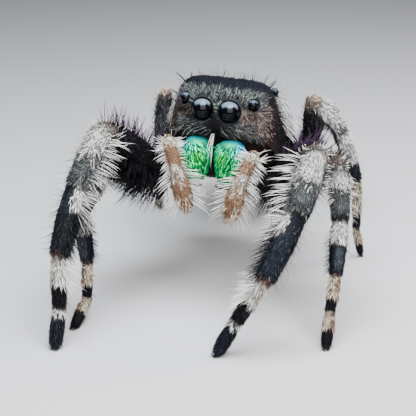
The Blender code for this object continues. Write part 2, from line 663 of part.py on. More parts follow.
def addLock(owner, root, way, lie, length, width, collection):
    """Makes one lock, shorter where a neighbour is near, or none where there is no room."""
    for shorter in LOCK_SHORTER:
        stations = lockStations(root, way, lie, length * shorter, width)
        if isClear(stations, owner):
            middles = [(lerp(first[0], second[0], 0.5), lerp(first[1], second[1], 0.5))
                       for first, second in zip(stations[1:], stations[2:])]
            lockBeads.extend((owner, place, half) for place, half in stations[1:] + middles)
            return [lockObject(stations, way, lie, collection)]
    return []


def dressLimb(target, rows, pieces, back, collection):
    """Fuses the rows of locks of one limb node. pieces gives start, end, shape and radius."""
    locks = []
    for piece, fromShare, toShare, angle, spread, reach, count, rake in rows:
        start, end, shape, radius, inner = pieces[piece]
        way = (end - start).normalized()
        dorsal = (back - way * back.dot(way)).normalized()
        front = way.cross(dorsal)
        if front.dot(inner) < 0.0:
            front.negate()
        for index in range(count):
            step = index + 0.5 + draws.uniform(-LOCK_SCATTER, LOCK_SCATTER)
            share = lerp(fromShare, toShare, step / count)
            turn = math.radians(angle + spread * (draws.random() - 0.5))
            out = dorsal * math.cos(turn) + front * math.sin(turn)
            depth = pieceRadius(shape, radius, share)
            root = lerp(start, end, share) + out * depth * (1.0 - LOCK_ROOT_DEPTH)
            slope = math.radians(rake + draws.uniform(-RAKE_SCATTER, RAKE_SCATTER))
            along = out * math.cos(slope) + way * math.sin(slope)
            length = (depth * LOCK_ROOT_DEPTH + reach * draws.uniform(*LOCK_VARIETY)) / math.cos(slope)
            locks.extend(addLock(target.name, root, along, way, length, LOCK_WIDTH, collection))
    if locks:
        combine(target, locks, "UNION", "MANIFOLD")


def dressHead(target, collection):
    """The white stripes that run down behind the back eyes."""
    tree = nodeTrees[target.name]
    locks = []
    for sign in (1.0, -1.0):
        for index in range(STRIPE_LOCKS):
            share = (index + 0.5) / STRIPE_LOCKS
            place = lerp(STRIPE_FROM, STRIPE_TO, share)
            place = headFrame @ Vector((place.x * sign, place.y, place.z))
            surface, normal = tree.find_nearest(place)[:2]
            down = headFrame.to_3x3() @ Vector((STRIPE_LIE.x * sign, STRIPE_LIE.y, STRIPE_LIE.z))
            lie = (down - normal * down.dot(normal)).normalized()
            slope = math.radians(STRIPE_RAKE + draws.uniform(-RAKE_SCATTER, RAKE_SCATTER))
            way = normal * math.cos(slope) + lie * math.sin(slope)
            root = surface - normal * STRIPE_SINK
            length = (STRIPE_REACH + STRIPE_SINK) / math.cos(slope) * draws.uniform(*LOCK_VARIETY)
            locks.extend(addLock(target.name, root, way, lie, length, LOCK_WIDTH, collection))
    combine(target, locks, "UNION", "MANIFOLD")


def dressLeg(name, nodes, collection):
    number = name[-1]
    hip, knee, mid, shin, toe, tip = legPoints(name)[1:]
    radii = LEG_RADII[int(number)]
    tilt = math.radians(LEGS[name][3])
    turn = math.radians(LEGS[name][2])
    across = Vector((-math.sin(turn), math.cos(turn), 0.0))
    up = Vector((0.0, 0.0, math.cos(tilt))) + across * math.sin(tilt)
    inner = across if name.startswith("right") else -across
    level = Vector((math.cos(turn), math.sin(turn), 0.0))
    back = up * LEG_BACK[0] + level * LEG_BACK[1]
    pieces = {
        "femur": (hip, knee, FEMUR_SHAPE, radii[0], inner),
        "patella": (knee, mid, PATELLA_SHAPE, radii[1], inner),
        "tibia": (mid, shin, TIBIA_SHAPE, radii[2], inner),
        "metatarsus": (shin, toe, METATARSUS_SHAPE, radii[3], inner),
    }
    for node, kind in zip(nodes, ("femur", "shin", "foot")):
        dressLimb(node, FRINGES[number + "_" + kind], pieces, back, collection)


def dressPalp(side, nodes, collection):
    knee, wrist, tip = (headFrame @ point for point in PALPS[side][1:])
    inner = Vector((1.0 if side == "right" else -1.0, 0.0, 0.0))
    pieces = {
        "shin": (knee, wrist, ((0.0, 1.0), (1.0, 1.0)), PALP_RADII["shin"], inner),
        "cymbium": (wrist, tip, PALP_TIP_SHAPE, PALP_RADII["cymbium"], inner),
    }
    for node, kind in zip(nodes[1:], ("shin", "cymbium")):
        dressLimb(node, FRINGES["palp_" + kind], pieces, Vector((0.0, -1.0, 0.0)), collection)


def treeOf(item):
    bm = bmesh.new()
    bm.from_mesh(item.data)
    tree = BVHTree.FromBMesh(bm)
    bm.free()
    return tree


clearScene()
partCollection = newCollection(NAME)
cutterCollection = newCollection(NAME + "_cutters")
rootEmpty = bpy.data.objects.new(NAME + "_root", None)
partCollection.objects.link(rootEmpty)
rootEmpty.scale = (MILLIMETRE, MILLIMETRE, MILLIMETRE)
rootEmpty.location = -FOOTPRINT_MIDDLE * MILLIMETRE

cephalothorax = makeCephalothorax(partCollection)
makeEyes(cephalothorax, partCollection)
makeChelicerae(partCollection)
makeAbdomen(partCollection)
makeSpinnerets(partCollection)
clearances = []
limbs = {}
for legName in LEGS:
    limbs[legName] = makeLeg(legName, partCollection)
    clearances.extend(hipClearance(legName, cutterCollection))
for palpSide in PALPS:
    limbs[palpSide] = makePalp(palpSide, partCollection)
combine(cephalothorax, clearances, "DIFFERENCE", "MANIFOLD")

draws = random.Random(LOCK_SEED)
nodeTrees = {item.name: treeOf(item) for item in partCollection.objects if item.type == "MESH"}
lockBeads = []
for palpSide in PALPS:
    dressPalp(palpSide, limbs[palpSide], cutterCollection)
for legName in LEGS:
    dressLeg(legName, limbs[legName], cutterCollection)
dressHead(cephalothorax, cutterCollection)
dress(cephalothorax, "face_fur")
for pieces in limbs.values():
    for piece in pieces:
        dress(piece, piece.data.materials[0].name)
for item in partCollection.objects:
    if item.type == "MESH":
        item.parent = rootEmpty
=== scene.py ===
# A male regal jumping spider at life size: skin, coat, fringes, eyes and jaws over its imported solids.
# Lengths are in millimetres until a mesh is made, and the spider faces -Y.
import math

import bmesh
import bpy
import numpy as np
from mathutils import Matrix, Vector
from mathutils.bvhtree import BVHTree
from mathutils.kdtree import KDTree


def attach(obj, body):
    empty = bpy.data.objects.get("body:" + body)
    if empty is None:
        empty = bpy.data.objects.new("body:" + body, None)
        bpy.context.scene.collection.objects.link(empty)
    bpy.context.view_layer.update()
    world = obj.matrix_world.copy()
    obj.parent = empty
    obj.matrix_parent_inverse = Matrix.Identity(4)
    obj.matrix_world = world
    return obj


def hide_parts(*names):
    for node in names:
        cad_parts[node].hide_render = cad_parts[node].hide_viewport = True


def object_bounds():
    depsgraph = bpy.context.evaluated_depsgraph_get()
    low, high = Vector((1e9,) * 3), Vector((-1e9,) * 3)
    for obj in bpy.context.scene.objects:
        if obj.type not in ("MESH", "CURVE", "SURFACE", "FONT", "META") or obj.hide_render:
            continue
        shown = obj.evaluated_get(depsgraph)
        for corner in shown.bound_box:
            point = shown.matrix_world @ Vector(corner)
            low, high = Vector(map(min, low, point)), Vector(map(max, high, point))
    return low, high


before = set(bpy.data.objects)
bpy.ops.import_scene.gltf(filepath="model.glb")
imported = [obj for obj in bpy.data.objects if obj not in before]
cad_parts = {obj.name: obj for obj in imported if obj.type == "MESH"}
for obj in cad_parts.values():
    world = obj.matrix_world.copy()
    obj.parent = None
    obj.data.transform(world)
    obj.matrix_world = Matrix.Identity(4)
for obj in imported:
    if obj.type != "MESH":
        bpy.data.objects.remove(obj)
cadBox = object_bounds()
mm = 0.001
footprintMiddle = Vector((0.09, 4.25, 0.0))
lowest, highest = (np.array(list(cadBox[0])) / mm, np.array(list(cadBox[1])) / mm)
print("frame loaded")

# Colours of the coat, in linear light.
tones = {
    "black": (0.0022, 0.0020, 0.0034),
    "purple": (0.0055, 0.0025, 0.0065),
    "plum": (0.026, 0.008, 0.030),
    "wine": (0.022, 0.004, 0.012),
    "blue": (0.0030, 0.0042, 0.011),
    "steel": (0.011, 0.015, 0.024),
    "slate": (0.040, 0.048, 0.058),
    "ash": (0.064, 0.069, 0.070),
    "grey": (0.24, 0.26, 0.25),
    "white": (0.86, 0.86, 0.80),
    "cream": (0.70, 0.58, 0.45),
    "tan": (0.25, 0.138, 0.080),
    "tanWithPaintedLight": (0.40, 0.245, 0.155),
    "peach": (0.42, 0.28, 0.20),
    "brown": (0.055, 0.024, 0.018),
    "taupe": (0.175, 0.130, 0.120),
    "mask": (0.038, 0.043, 0.042),
    "mint": (0.32, 0.36, 0.32),
    "umber": (0.115, 0.086, 0.074),
}


def tone(name):
    return np.array(tones[name])


def ramp(low, high, value):
    share = np.clip((value - low) / (high - low), 0.0, 1.0)
    return share * share * (3.0 - 2.0 * share)


def window(low, high, soft, value):
    return ramp(low - soft, low + soft, value) * (1.0 - ramp(high - soft, high + soft, value))


# How far an angle lies inside a sector.
def around(middle, half, soft, degrees):
    away = np.abs((degrees - middle + 180.0) % 360.0 - 180.0)
    return 1.0 - ramp(half - soft, half + soft, away)


def unit(vectors):
    return vectors / np.maximum(np.linalg.norm(vectors, axis=-1, keepdims=True), 1e-9)


def mixed(first, second, share):
    return first + (second - first) * np.asarray(share)[..., None]


def curveThrough(rows, count):
    rows = np.asarray(rows, float)
    spots = np.linspace(0.0, len(rows) - 1.0, count)
    index = np.minimum(spots.astype(int), len(rows) - 2)
    t = (spots - index)[:, None]
    padded = np.vstack([2 * rows[0] - rows[1], rows, 2 * rows[-1] - rows[-2]])
    a, b, c, d = (padded[index + step] for step in range(4))
    return 0.5 * (2 * b + (c - a) * t + (2 * a - 5 * b + 4 * c - d) * t ** 2
                  + (3 * b - a - 3 * c + d) * t ** 3)


def placed(matrix, points):
    full = np.array(matrix)
    return points @ full[:3, :3].T + full[:3, 3]


def turned(matrix, vectors):
    return vectors @ np.array(matrix)[:3, :3].T


def mirrored(place, sign):
    return place[0] * sign, place[1], place[2]


# Values drawn evenly between two bounds.
def drawn(bounds, count, draws):
    return bounds[0] + (bounds[1] - bounds[0]) * draws.random(count)


anywhere = (-99.0, 99.0, 1.0)


# How far places lie inside spans, each of them from, to and softness along its own axis.
def inside(spans, places):
    return np.prod([window(*span, place) for span, place in zip(spans, places)], axis=0)


def addObject(name, data):
    made = bpy.data.objects.new(name, data)
    bpy.context.scene.collection.objects.link(made)
    return made


# A mesh of closed parts, with its faces outward.
def closedMesh(name, bm):
    bmesh.ops.recalc_face_normals(bm, faces=bm.faces)
    mesh = bpy.data.meshes.new(name)
    bm.to_mesh(mesh)
    bm.free()
    return mesh


# A finished piece: its place is in its mesh, and it rides on the one body.
def makePiece(name, mesh, material):
    mesh.materials.clear()
    mesh.materials.append(material)
    mesh.polygons.foreach_set("use_smooth", np.ones(len(mesh.polygons), bool))
    made = addObject(name, mesh)
    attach(made, "root")
    return made


def addNode(nodes, kind, inputs=(), **properties):
    node = nodes.new(kind)
    for key, value in properties.items():
        setattr(node, key, value)
    for socket, value in inputs:
        node.inputs[socket].default_value = value
    return node


# Links from an output of one node to an input of another.
def wire(*rows):
    for source, output, target, socket in rows:
        source.id_data.links.new(source.outputs[output], target.inputs[socket])


# the head and the abdomen
head = {
    "eyeHeight": 8.19,
    "pitch": -14.73,
    "roll": 3.04,
    "coatDepth": 0.03,
    "rings": 110,
    "sides": 112,
    # y, half width, top, margin, underside, half width of the sternum, squareness, lean of the sides
    "stations": (
        (-0.02, 0.42, 0.42, -0.62, -0.70, 0.30, 2.6, 0.00),
        (0.08, 0.92, 0.70, -0.78, -0.86, 0.70, 3.0, 0.03),
        (0.30, 1.34, 0.92, -0.88, -0.98, 1.00, 3.8, 0.06),
        (0.62, 1.74, 1.10, -0.98, -1.08, 1.25, 4.8, 0.09),
        (1.05, 2.08, 1.24, -1.20, -1.30, 1.45, 5.6, 0.11),
        (1.48, 2.30, 1.33, -1.48, -1.62, 1.50, 6.0, 0.12),
        (1.80, 2.40, 1.37, -1.70, -2.72, 0.95, 6.0, 0.14),
        (2.40, 2.50, 1.35, -1.88, -3.00, 1.15, 5.0, 0.16),
        (3.15, 2.76, 1.20, -1.98, -3.05, 1.25, 3.8, 0.16),
        (3.90, 2.96, 0.90, -2.05, -3.05, 1.30, 2.8, 0.12),
        (4.70, 3.00, 0.42, -2.10, -3.05, 1.28, 2.4, 0.08),
        (5.50, 2.74, -0.14, -2.14, -3.00, 1.12, 2.2, 0.04),
        (6.20, 2.12, -0.80, -2.18, -2.86, 0.82, 2.1, 0.00),
        (6.75, 1.22, -1.40, -2.20, -2.66, 0.48, 2.0, 0.00),
        (7.02, 0.46, -1.74, -2.16, -2.42, 0.28, 2.0, 0.00)),
    "lowerShape": ((0.30, 0.16), (0.85, 0.30), (1.0, 0.72)),
    "sternumFlat": 0.62,
    "archSteps": 24,
    "nose": (0.02, 0.30, 0.60, 0.85),   # rings that close the front, as shares of the first station
    "noseDepth": 0.03,
    "tail": (0.70, 0.35, 0.02),
    "stalk": ((0.0, 6.3, -2.0), (0.0, 7.35, -1.98), (0.0, 8.05, -1.78)),
    "stalkRadius": 0.30,
}
headMatrix = (Matrix.Translation(Vector((0.0, 0.0, head["eyeHeight"])) - footprintMiddle)
              @ Matrix.Rotation(math.radians(head["pitch"]), 4, "X")
              @ Matrix.Rotation(math.radians(head["roll"]), 4, "Y"))
abdomen = {
    "middle": (-0.62, 10.50, 3.72),
    "half": (2.14, 3.70, 2.02),
    "pitch": -6.0,
    "yaw": 8.0,
    "front": 0.14,
    "coatDepth": 0.14,
    "rings": 80,
    "sides": 96,
    "poles": (0.8, 179.2),
    "spinneretRoot": (0.0, 3.90, -0.12),
    "spinnerets": ((-1.0, 0.6), (1.0, 0.6), (-0.8, -0.7), (0.8, -0.7)),   # sideways and up
    "spinneretPath": ((-0.40, 0.10), (0.048, 0.16), (0.44, 0.24), (0.80, 0.28)),   # along and apart
    "spinneretRadii": (0.24, 0.24, 0.192, 0.06),
}
abdomenMatrix = (Matrix.Translation(Vector(abdomen["middle"]) - footprintMiddle)
                 @ Matrix.Rotation(math.radians(abdomen["yaw"]), 4, "Z")
                 @ Matrix.Rotation(math.radians(abdomen["pitch"]), 4, "X"))


# A closed tube of rings, with its normals, in the piece's own frame and in the scene's.
def gridSurface(points, matrix):
    down = np.gradient(points, axis=0)
    aside = (np.roll(points, -1, axis=1) - np.roll(points, 1, axis=1)) * 0.5
    normals = unit(np.cross(aside, down))
    middle = points.mean(axis=1, keepdims=True)
    if ((points - middle) * normals).sum() < 0.0:
        normals = -normals
    return {"own": points, "ownNormals": normals, "points": placed(matrix, points),
            "normals": turned(matrix, normals), "matrix": matrix}


def headOutline(station, sides):
    y, halfWidth, top, margin, underside, sternum, squareness, lean = station
    angles = np.radians(np.linspace(90.0, 0.0, head["archSteps"]))
    out = np.clip(np.cos(angles), 0.0, 1.0) ** (2.0 / squareness)
    rise = np.clip(np.sin(angles), 0.0, 1.0) ** (2.0 / squareness)
    out[0] = 0.0
    half = list(zip(halfWidth * out * (1.0 - lean * rise), margin + (top - margin) * rise))
    drop = margin - underside
    half += [(halfWidth + (sternum - halfWidth) * inward, margin - drop * low)
             for inward, low in head["lowerShape"]]
    half += [(sternum * head["sternumFlat"], underside), (0.0, underside)]
    ring = np.array(half + [(-x, z) for x, z in reversed(half[1:-1])])
    closed = np.vstack([ring, ring[:1]])
    length = np.concatenate([[0.0], np.cumsum(np.linalg.norm(np.diff(closed, axis=0), axis=1))])
    spots = np.linspace(0.0, length[-1], sides, endpoint=False)
    x = np.interp(spots, length, closed[:, 0])
    z = np.interp(spots, length, closed[:, 1])
    return np.stack([x, np.full(sides, y), z], axis=1)


def headSurface():
    rings = [headOutline(station, head["sides"]) for station in curveThrough(head["stations"], head["rings"])]
    first, last = rings[0], rings[-1]
    nose = [mixed(first.mean(axis=0), first, share) - np.array((0.0, head["noseDepth"] * (1.0 - share), 0.0))
            for share in head["nose"]]
    tail = [mixed(last.mean(axis=0), last, share) for share in head["tail"]]
    points = np.array(nose + rings + tail)
    return gridSurface(points - gridSurface(points, headMatrix)["ownNormals"] * head["coatDepth"], headMatrix)


def abdomenSurface():
    polar = np.radians(np.linspace(*abdomen["poles"], abdomen["rings"]))[:, None]
    turn = np.linspace(0.0, 2.0 * math.pi, abdomen["sides"], endpoint=False)[None, :]
    y = -np.cos(polar) * np.ones_like(turn)
    fullness = 1.0 - abdomen["front"] * y
    half = np.array(abdomen["half"]) - abdomen["coatDepth"]
    points = np.stack([np.sin(polar) * np.sin(turn) * half[0] * fullness, y * half[1],
                       np.sin(polar) * np.cos(turn) * half[2] * fullness], axis=2)
    return gridSurface(points, abdomenMatrix)


headGrid = headSurface()
abdomenGrid = abdomenSurface()

# legs and palps
legLengths = {1: (2.61, 2.83, 2.15, 1.55), 2: (2.36, 2.19, 1.52, 1.46),
              3: (1.93, 2.63, 2.67, 1.52), 4: (1.90, 2.90, 3.00, 1.40)}
legRadii = {1: (0.79, 0.60, 0.54, 0.38, 0.37), 2: (0.60, 0.47, 0.41, 0.30, 0.32),
            3: (0.46, 0.40, 0.36, 0.28, 0.26), 4: (0.54, 0.44, 0.38, 0.29, 0.26)}
# Hip in the head's frame, knee in the part's, the way a leg points, the lean of its plane, pitches.
legs = {
    "right_1": ((-2.35, 2.00, -3.00), (-4.31, -1.91, 7.46), 247.8, -9.2, (-41, -55, -77)),
    "right_2": ((-2.60, 3.66, -3.16), (-4.54, -0.82, 5.62), 247.9, -12.6, (-32, -83, -72)),
    "right_3": ((-3.45, 4.72, -2.60), (-3.90, 6.50, 6.90), 112.0, 0.0, (-35, -72, -84)),
    "right_4": ((-2.75, 5.75, -2.60), (-3.42, 8.70, 6.22), 102.0, 0.0, (-18, -46, -58)),
    "left_1": ((2.35, 2.05, -2.85), (4.41, -1.87, 7.04), -73.1, 30.4, (-46, -67, -96)),
    "left_2": ((2.70, 3.66, -2.72), (5.14, -0.32, 6.27), -55.4, 18.5, (-52, -64, -71)),
    "left_3": ((3.60, 4.72, -2.60), (3.45, 3.44, 7.92), 10.1, -10.5, (-47, -71, -88)),
    "left_4": ((2.75, 5.75, -2.60), (3.15, 8.90, 6.00), 80.0, 0.0, (-20, -50, -62)),
}
palps = {
    "right": ((-1.98, 1.75, -3.00), (-1.72, -0.62, -1.42), (-1.18, -0.98, -2.50), (-0.50, -1.10, -4.12)),
    "left": ((1.98, 1.75, -3.00), (1.86, -0.60, -1.66), (1.56, -0.92, -2.52), (1.22, -1.08, -4.34)),
}
limbShape = {
    "coxaStart": 1.00, "coxaGather": 0.25, "sternumMiddle": 4.2, "coxaDrop": 0.08, "coxaLowest": -2.72,
    "coxaRadius": 0.44, "clawRoom": 0.06, "coatDepth": 0.075, "rounding": 0.22, "step": 0.06,
    "back": (0.8, 0.6),
    # Thickness along each piece, from coxa to tarsus: share of length, share of the piece's radius.
    "profiles": (((0.0, 0.95), (0.6, 1.0), (1.0, 0.98)),
                 ((0.0, 0.52), (0.20, 0.76), (0.45, 0.96), (0.72, 0.98), (0.93, 0.82), (1.0, 0.68)),
                 ((0.0, 0.86), (0.10, 0.96), (0.45, 1.05), (0.90, 0.97), (1.0, 0.78)),
                 ((0.0, 0.86), (0.08, 0.98), (0.40, 1.04), (0.90, 0.90), (1.0, 0.68)),
                 ((0.0, 0.78), (0.08, 0.92), (0.50, 1.0), (0.92, 0.94), (1.0, 0.78)),
                 ((0.0, 0.82), (0.10, 0.96), (0.50, 1.02), (0.84, 0.94), (1.0, 0.60))),
}


# A limb as fine stations with a middle line, radius and a back and a front all along.
def limbFrom(name, points, profiles, radii, back, inner, firstPiece):
    centre, radius, q = [], [], []
    for piece, (start, end) in enumerate(zip(points, points[1:])):
        count = max(6, int(np.linalg.norm(end - start) / limbShape["step"]))
        share = np.linspace(0.0, 1.0, count, endpoint=piece == len(points) - 2)
        centre.append(start + (end - start) * share[:, None])
        table = np.array(profiles[piece])
        radius.append(np.interp(share, table[:, 0], table[:, 1]) * radii[piece])
        q.append(share + piece + firstPiece)
    centre, radius, q = np.vstack(centre), np.concatenate(radius), np.concatenate(q)
    reach = int(limbShape["rounding"] / limbShape["step"])
    kernel = np.hanning(2 * reach + 3)[1:-1]
    kernel /= kernel.sum()
    padded = np.vstack([np.repeat(centre[:1], reach, 0), centre, np.repeat(centre[-1:], reach, 0)])
    smooth = np.stack([np.convolve(padded[:, axis], kernel, "valid") for axis in range(3)], axis=1)
    smooth[0], smooth[-1] = centre[0], centre[-1]
    paddedRadius = np.concatenate([np.full(2, radius[0]), radius, np.full(2, radius[-1])])
    radius = np.convolve(paddedRadius, np.full(5, 0.2), "valid") - limbShape["coatDepth"]
    way = unit(np.gradient(smooth, axis=0))
    dorsal = unit(back - way * (way @ back)[:, None])
    front = np.cross(way, dorsal)
    front *= np.sign(front @ inner)[:, None]
    return {"name": name, "centre": smooth, "radius": radius[:, None], "way": way, "dorsal": dorsal,
            "front": front, "q": q}


def legLimb(name):
    hip, knee, azimuth, lean, pitches = legs[name]
    number = int(name[-1])
    turn, tilt = math.radians(azimuth), math.radians(lean)
    level = Vector((math.cos(turn), math.sin(turn), 0.0))
    across = Vector((-math.sin(turn), math.cos(turn), 0.0))
    up = Vector((0.0, 0.0, math.cos(tilt))) + across * math.sin(tilt)
    sign = 1.0 if name.startswith("left") else -1.0
    gather = hip[1] + (limbShape["sternumMiddle"] - hip[1]) * limbShape["coxaGather"]
    height = max(hip[2] - limbShape["coxaDrop"], limbShape["coxaLowest"])
    coxa = Vector((limbShape["coxaStart"] * sign, gather, height))
    points = [headMatrix @ coxa, headMatrix @ Vector(hip), Vector(knee) - footprintMiddle]
    for length, pitch in zip(legLengths[number], pitches):
        slope = math.radians(pitch)
        points.append(points[-1] + (level * math.cos(slope) + up * math.sin(slope)) * length)
    lastLength = legLengths[number][3]
    slope = -math.asin(min(1.0, points[-1].z / (lastLength * math.cos(tilt))))
    points.append(points[-1] + (level * math.cos(slope) + up * math.sin(slope))
                  * (lastLength - limbShape["clawRoom"]))
    inner = across if sign < 0.0 else -across
    back = up * limbShape["back"][0] + level * limbShape["back"][1]
    radii = (limbShape["coxaRadius"],) + legRadii[number]
    made = limbFrom("leg_" + name, [np.array(point) for point in points], limbShape["profiles"], radii,
                    np.array(back), np.array(inner), -1)
    made["number"] = number
    return made


palpShape = {
    "radii": (0.30, 0.35, 0.47), "back": (0.0, -1.0, 0.25),
    "profiles": (((0.0, 0.90), (0.5, 1.00), (1.0, 1.00)), ((0.0, 0.98), (0.5, 1.02), (1.0, 0.92)),
                 ((0.0, 0.74), (0.25, 0.94), (0.5, 1.0), (0.8, 0.88), (1.0, 0.42))),
}


def palpLimb(side):
    inner = np.array((1.0 if side == "right" else -1.0, 0.0, 0.0))
    made = limbFrom("palp_" + side, list(placed(headMatrix, np.array(palps[side]))), palpShape["profiles"],
                    palpShape["radii"], np.array(palpShape["back"]), inner, 0)
    made["number"] = 0
    return made


limbs = [legLimb(name) for name in legs] + [palpLimb(side) for side in palps]


# Place, way out and way along, for places along a limb and angles round it.
def onLimb(limb, q, degrees):
    spot = np.interp(q, limb["q"], np.arange(len(limb["q"])))
    row = np.minimum(spot.astype(int), len(limb["q"]) - 2)
    share = (spot - row)[:, None]
    centre, radius, way, dorsal, front = (limb[key][row] * (1.0 - share) + limb[key][row + 1] * share
                                          for key in ("centre", "radius", "way", "dorsal", "front"))
    angle = np.radians(degrees)[:, None]
    out = unit(dorsal * np.cos(angle) + front * np.sin(angle))
    return centre + out * radius, out, unit(way)


# markings: from and to along the limb, middle and half width of the sector, softness, colour; a few sectors
# are painted highlights
legMarks = {
    1: ((0.05, 0.88, 0, 60, 0.1, "purple"), (0.92, 1.04, 350, 110, 0.05, "umber"),
        (1.08, 1.6, 308, 30, 0.08, "umber"), (1.01, 1.62, 56, 92, 0.05, "white"),
        (1.42, 1.93, 14, 56, 0.08, "ash"), (1.4, 1.94, 98, 26, 0.05, "grey"),
        (1.96, 1.98, 0, 181, 0.006, "grey"), (2.05, 2.95, 0, 181, 0.03, "blue"),
        # the steel sector along the upper shin below is a painted highlight
        (2.15, 2.9, 20, 46, 0.1, "steel"), (2.05, 2.32, 92, 42, 0.06, "white"),
        (2.93, 3.00, 0, 70, 0.012, "brown"), (3.02, 3.48, 0, 181, 0.03, "white"),
        (3.02, 3.4, 330, 36, 0.05, "cream"), (3.95, 4.08, 0, 181, 0.015, "white"),
        (4.12, 5.1, 30, 60, 0.05, "blue")),
    2: ((0.9, 1.2, 20, 120, 0.06, "ash"), (0.92, 1.04, 20, 70, 0.04, "umber"),
        (1.18, 1.54, 40, 120, 0.06, "white"), (1.42, 1.9, 30, 80, 0.07, "ash"),
        # the slate sector along the upper shin below is a painted highlight
        (2.36, 2.95, 0, 181, 0.05, "blue"), (2.46, 2.88, 15, 34, 0.08, "slate"),
        (2.04, 2.36, 60, 110, 0.05, "white"), (2.95, 3.00, 0, 181, 0.01, "brown"),
        (3.00, 3.52, 0, 181, 0.03, "cream"), (3.00, 3.5, 330, 50, 0.04, "peach"),
        (3.95, 4.42, 0, 181, 0.02, "cream"), (4.00, 4.42, 330, 60, 0.02, "peach")),
    3: ((0.88, 1.14, 0, 181, 0.05, "umber"), (0.96, 1.1, 0, 60, 0.04, "peach"),
        (1.1, 1.9, 30, 130, 0.06, "ash"), (1.14, 1.6, 330, 60, 0.06, "grey"),
        (1.22, 1.84, 50, 66, 0.14, "white"), (2.04, 2.6, 30, 140, 0.06, "white"),
        (2.6, 2.95, 0, 181, 0.05, "steel"), (3.00, 3.6, 0, 181, 0.03, "cream"),
        (3.1, 3.5, 330, 60, 0.05, "peach"), (3.95, 4.4, 0, 181, 0.02, "cream")),
}
legMarks[4] = legMarks[3]
palpMarks = ((0.0, 0.72, 0, 181, 0.05, "brown"), (0.82, 1.22, 0, 120, 0.06, "cream"),
             (0.92, 1.08, 20, 40, 0.05, "white"), (1.88, 2.04, 350, 46, 0.04, "white"),
             (2.06, 2.24, 36, 18, 0.05, "white"), (2.1, 2.34, 330, 12, 0.05, "white"),
             (2.3, 2.44, 20, 12, 0.04, "cream"), (2.62, 2.98, 0, 70, 0.05, "cream"),
             (2.5, 2.9, 15, 30, 0.05, "tan"))


limbGround = {"palp_right": "tan", "palp_left": "tanWithPaintedLight"}   # legs are black under their markings; the left palp is the right palp's tan with painted light
sectorSoft = 14.0   # degrees
shinPaintedShades = {"leg_right_1": (0.58, (2.38, 2.95, 0.05))}   # how much painted shade darkens the right front leg's shin, and where


# Painted shade over the right front leg's shin, in its skin, coat and long hair.
def paintedShadeOnShin(limb, q):
    depth, span = shinPaintedShades.get(limb["name"], (0.0, anywhere))
    return 1.0 - depth * window(*span, q)


def limbTone(limb, q, degrees):
    colour = np.tile(tone(limbGround.get(limb["name"], "black")), (len(q), 1))
    for low, high, middle, half, soft, name in (legMarks[limb["number"]] if limb["number"] else palpMarks):
        share = window(low, high, soft, q) * around(middle, half, sectorSoft, degrees)
        colour = mixed(colour, tone(name), share)
    return colour * paintedShadeOnShin(limb, q)[:, None]


# The white crescent behind each back eye: middle, half width, half height, slant and the side it is on.
stripe = {"y": 2.72, "z": 0.20, "half": 0.36, "height": 0.88, "slant": 0.30, "level": 0.60, "soft": 0.10,
          "side": (1.7, 1.9)}


def stripeShare(own):
    x, y, z = np.abs(own[:, 0]), own[:, 1], own[:, 2]
    half = stripe["half"] * np.sqrt(np.clip(1.0 - ((z - stripe["z"]) / stripe["height"]) ** 2, 0.0, 1.0))
    away = np.abs(y - stripe["y"] - stripe["slant"] * (stripe["level"] - z))
    edge = 1.0 - ramp(half - stripe["soft"], half + stripe["soft"], away)
    return edge * (half > 0.0) * ramp(*stripe["side"], x)


# Patches of the face in the head's frame, x to its left, y back and z up:
# colour, strength, then from, to and softness in |x|, y, z and for some in z again.
faceDepth = (-99.0, 1.80, 0.25)
facePatches = (
    ("taupe", 1.00, (0.85, 2.10, 0.22), faceDepth, (-1.10, 0.26, 0.22)),
    ("wine", 0.90, (1.98, 99.0, 0.14), faceDepth, (-1.60, 0.60, 0.20)),
    ("brown", 0.85, (0.90, 2.20, 0.25), faceDepth, (-1.60, -1.00, 0.18)),
    ("black", 0.90, (-1.00, 1.05, 0.20), faceDepth, (-1.50, -0.30, 0.12)),
    ("slate", 1.00, (0.35, 1.35, 0.20), faceDepth, (-0.80, -0.46, 0.10)),
    ("mask", 1.00, (-1.00, 1.66, 0.22), (-99.0, 1.05, 0.20), (0.125, 99.0, 0.075), (-99.0, 0.84, 0.18)),
    ("blue", 1.00, anywhere, (-99.0, 3.10, 1.10), (0.93, 99.0, 0.07)),
)
paintedCheekShadeDepth = {"coat": 0.76, "hair": 0.60}   # how much painted shade darkens the right cheek, in its coat and in its hair
paintedCheekShadeEdge = (-0.9, -0.3)


# Painted shade over the right cheek, fading out towards the middle of the face.
def paintedCheekShade(own, layer):
    return 1.0 - paintedCheekShadeDepth[layer] * (1.0 - ramp(*paintedCheekShadeEdge, own[:, :1]))


def headTone(own):
    x, y, z = own.T
    colour = np.tile(tone("black"), (len(own), 1))
    for name, strength, *spans in facePatches:
        shade = paintedCheekShade(own, "coat") if name == "taupe" else 1.0
        colour = mixed(colour, tone(name) * shade, strength * inside(spans, (np.abs(x), y, z, z)))
    return mixed(colour, tone("white"), stripeShare(own))


# White band, middle spot, side spots and flanks on black, as in males of the species.
# Places are shares of the half sizes.
abdomenMarks = {
    "bow": 0.42, "band": ((-0.74, -0.56, 0.03), (-0.225, 99.0, 0.125)),
    # middle across and along, half width, half length, where the edge begins, heights it fades in over
    "spots": ((0.0, 0.10, 0.24, 0.17, 0.85, (0.2, 0.4)), (0.36, 0.46, 0.13, 0.08, 0.80, (0.1, 0.3))),
    "spotEnd": 1.1, "flankMiddle": 0.05, "flankSlant": 0.3,
    "flank": ((-0.16, 0.16, 0.04), (-0.30, 0.35, 0.12), (0.77, 99.0, 0.05)),
    "under": (0.25, 0.70), "underShare": 0.6,
}


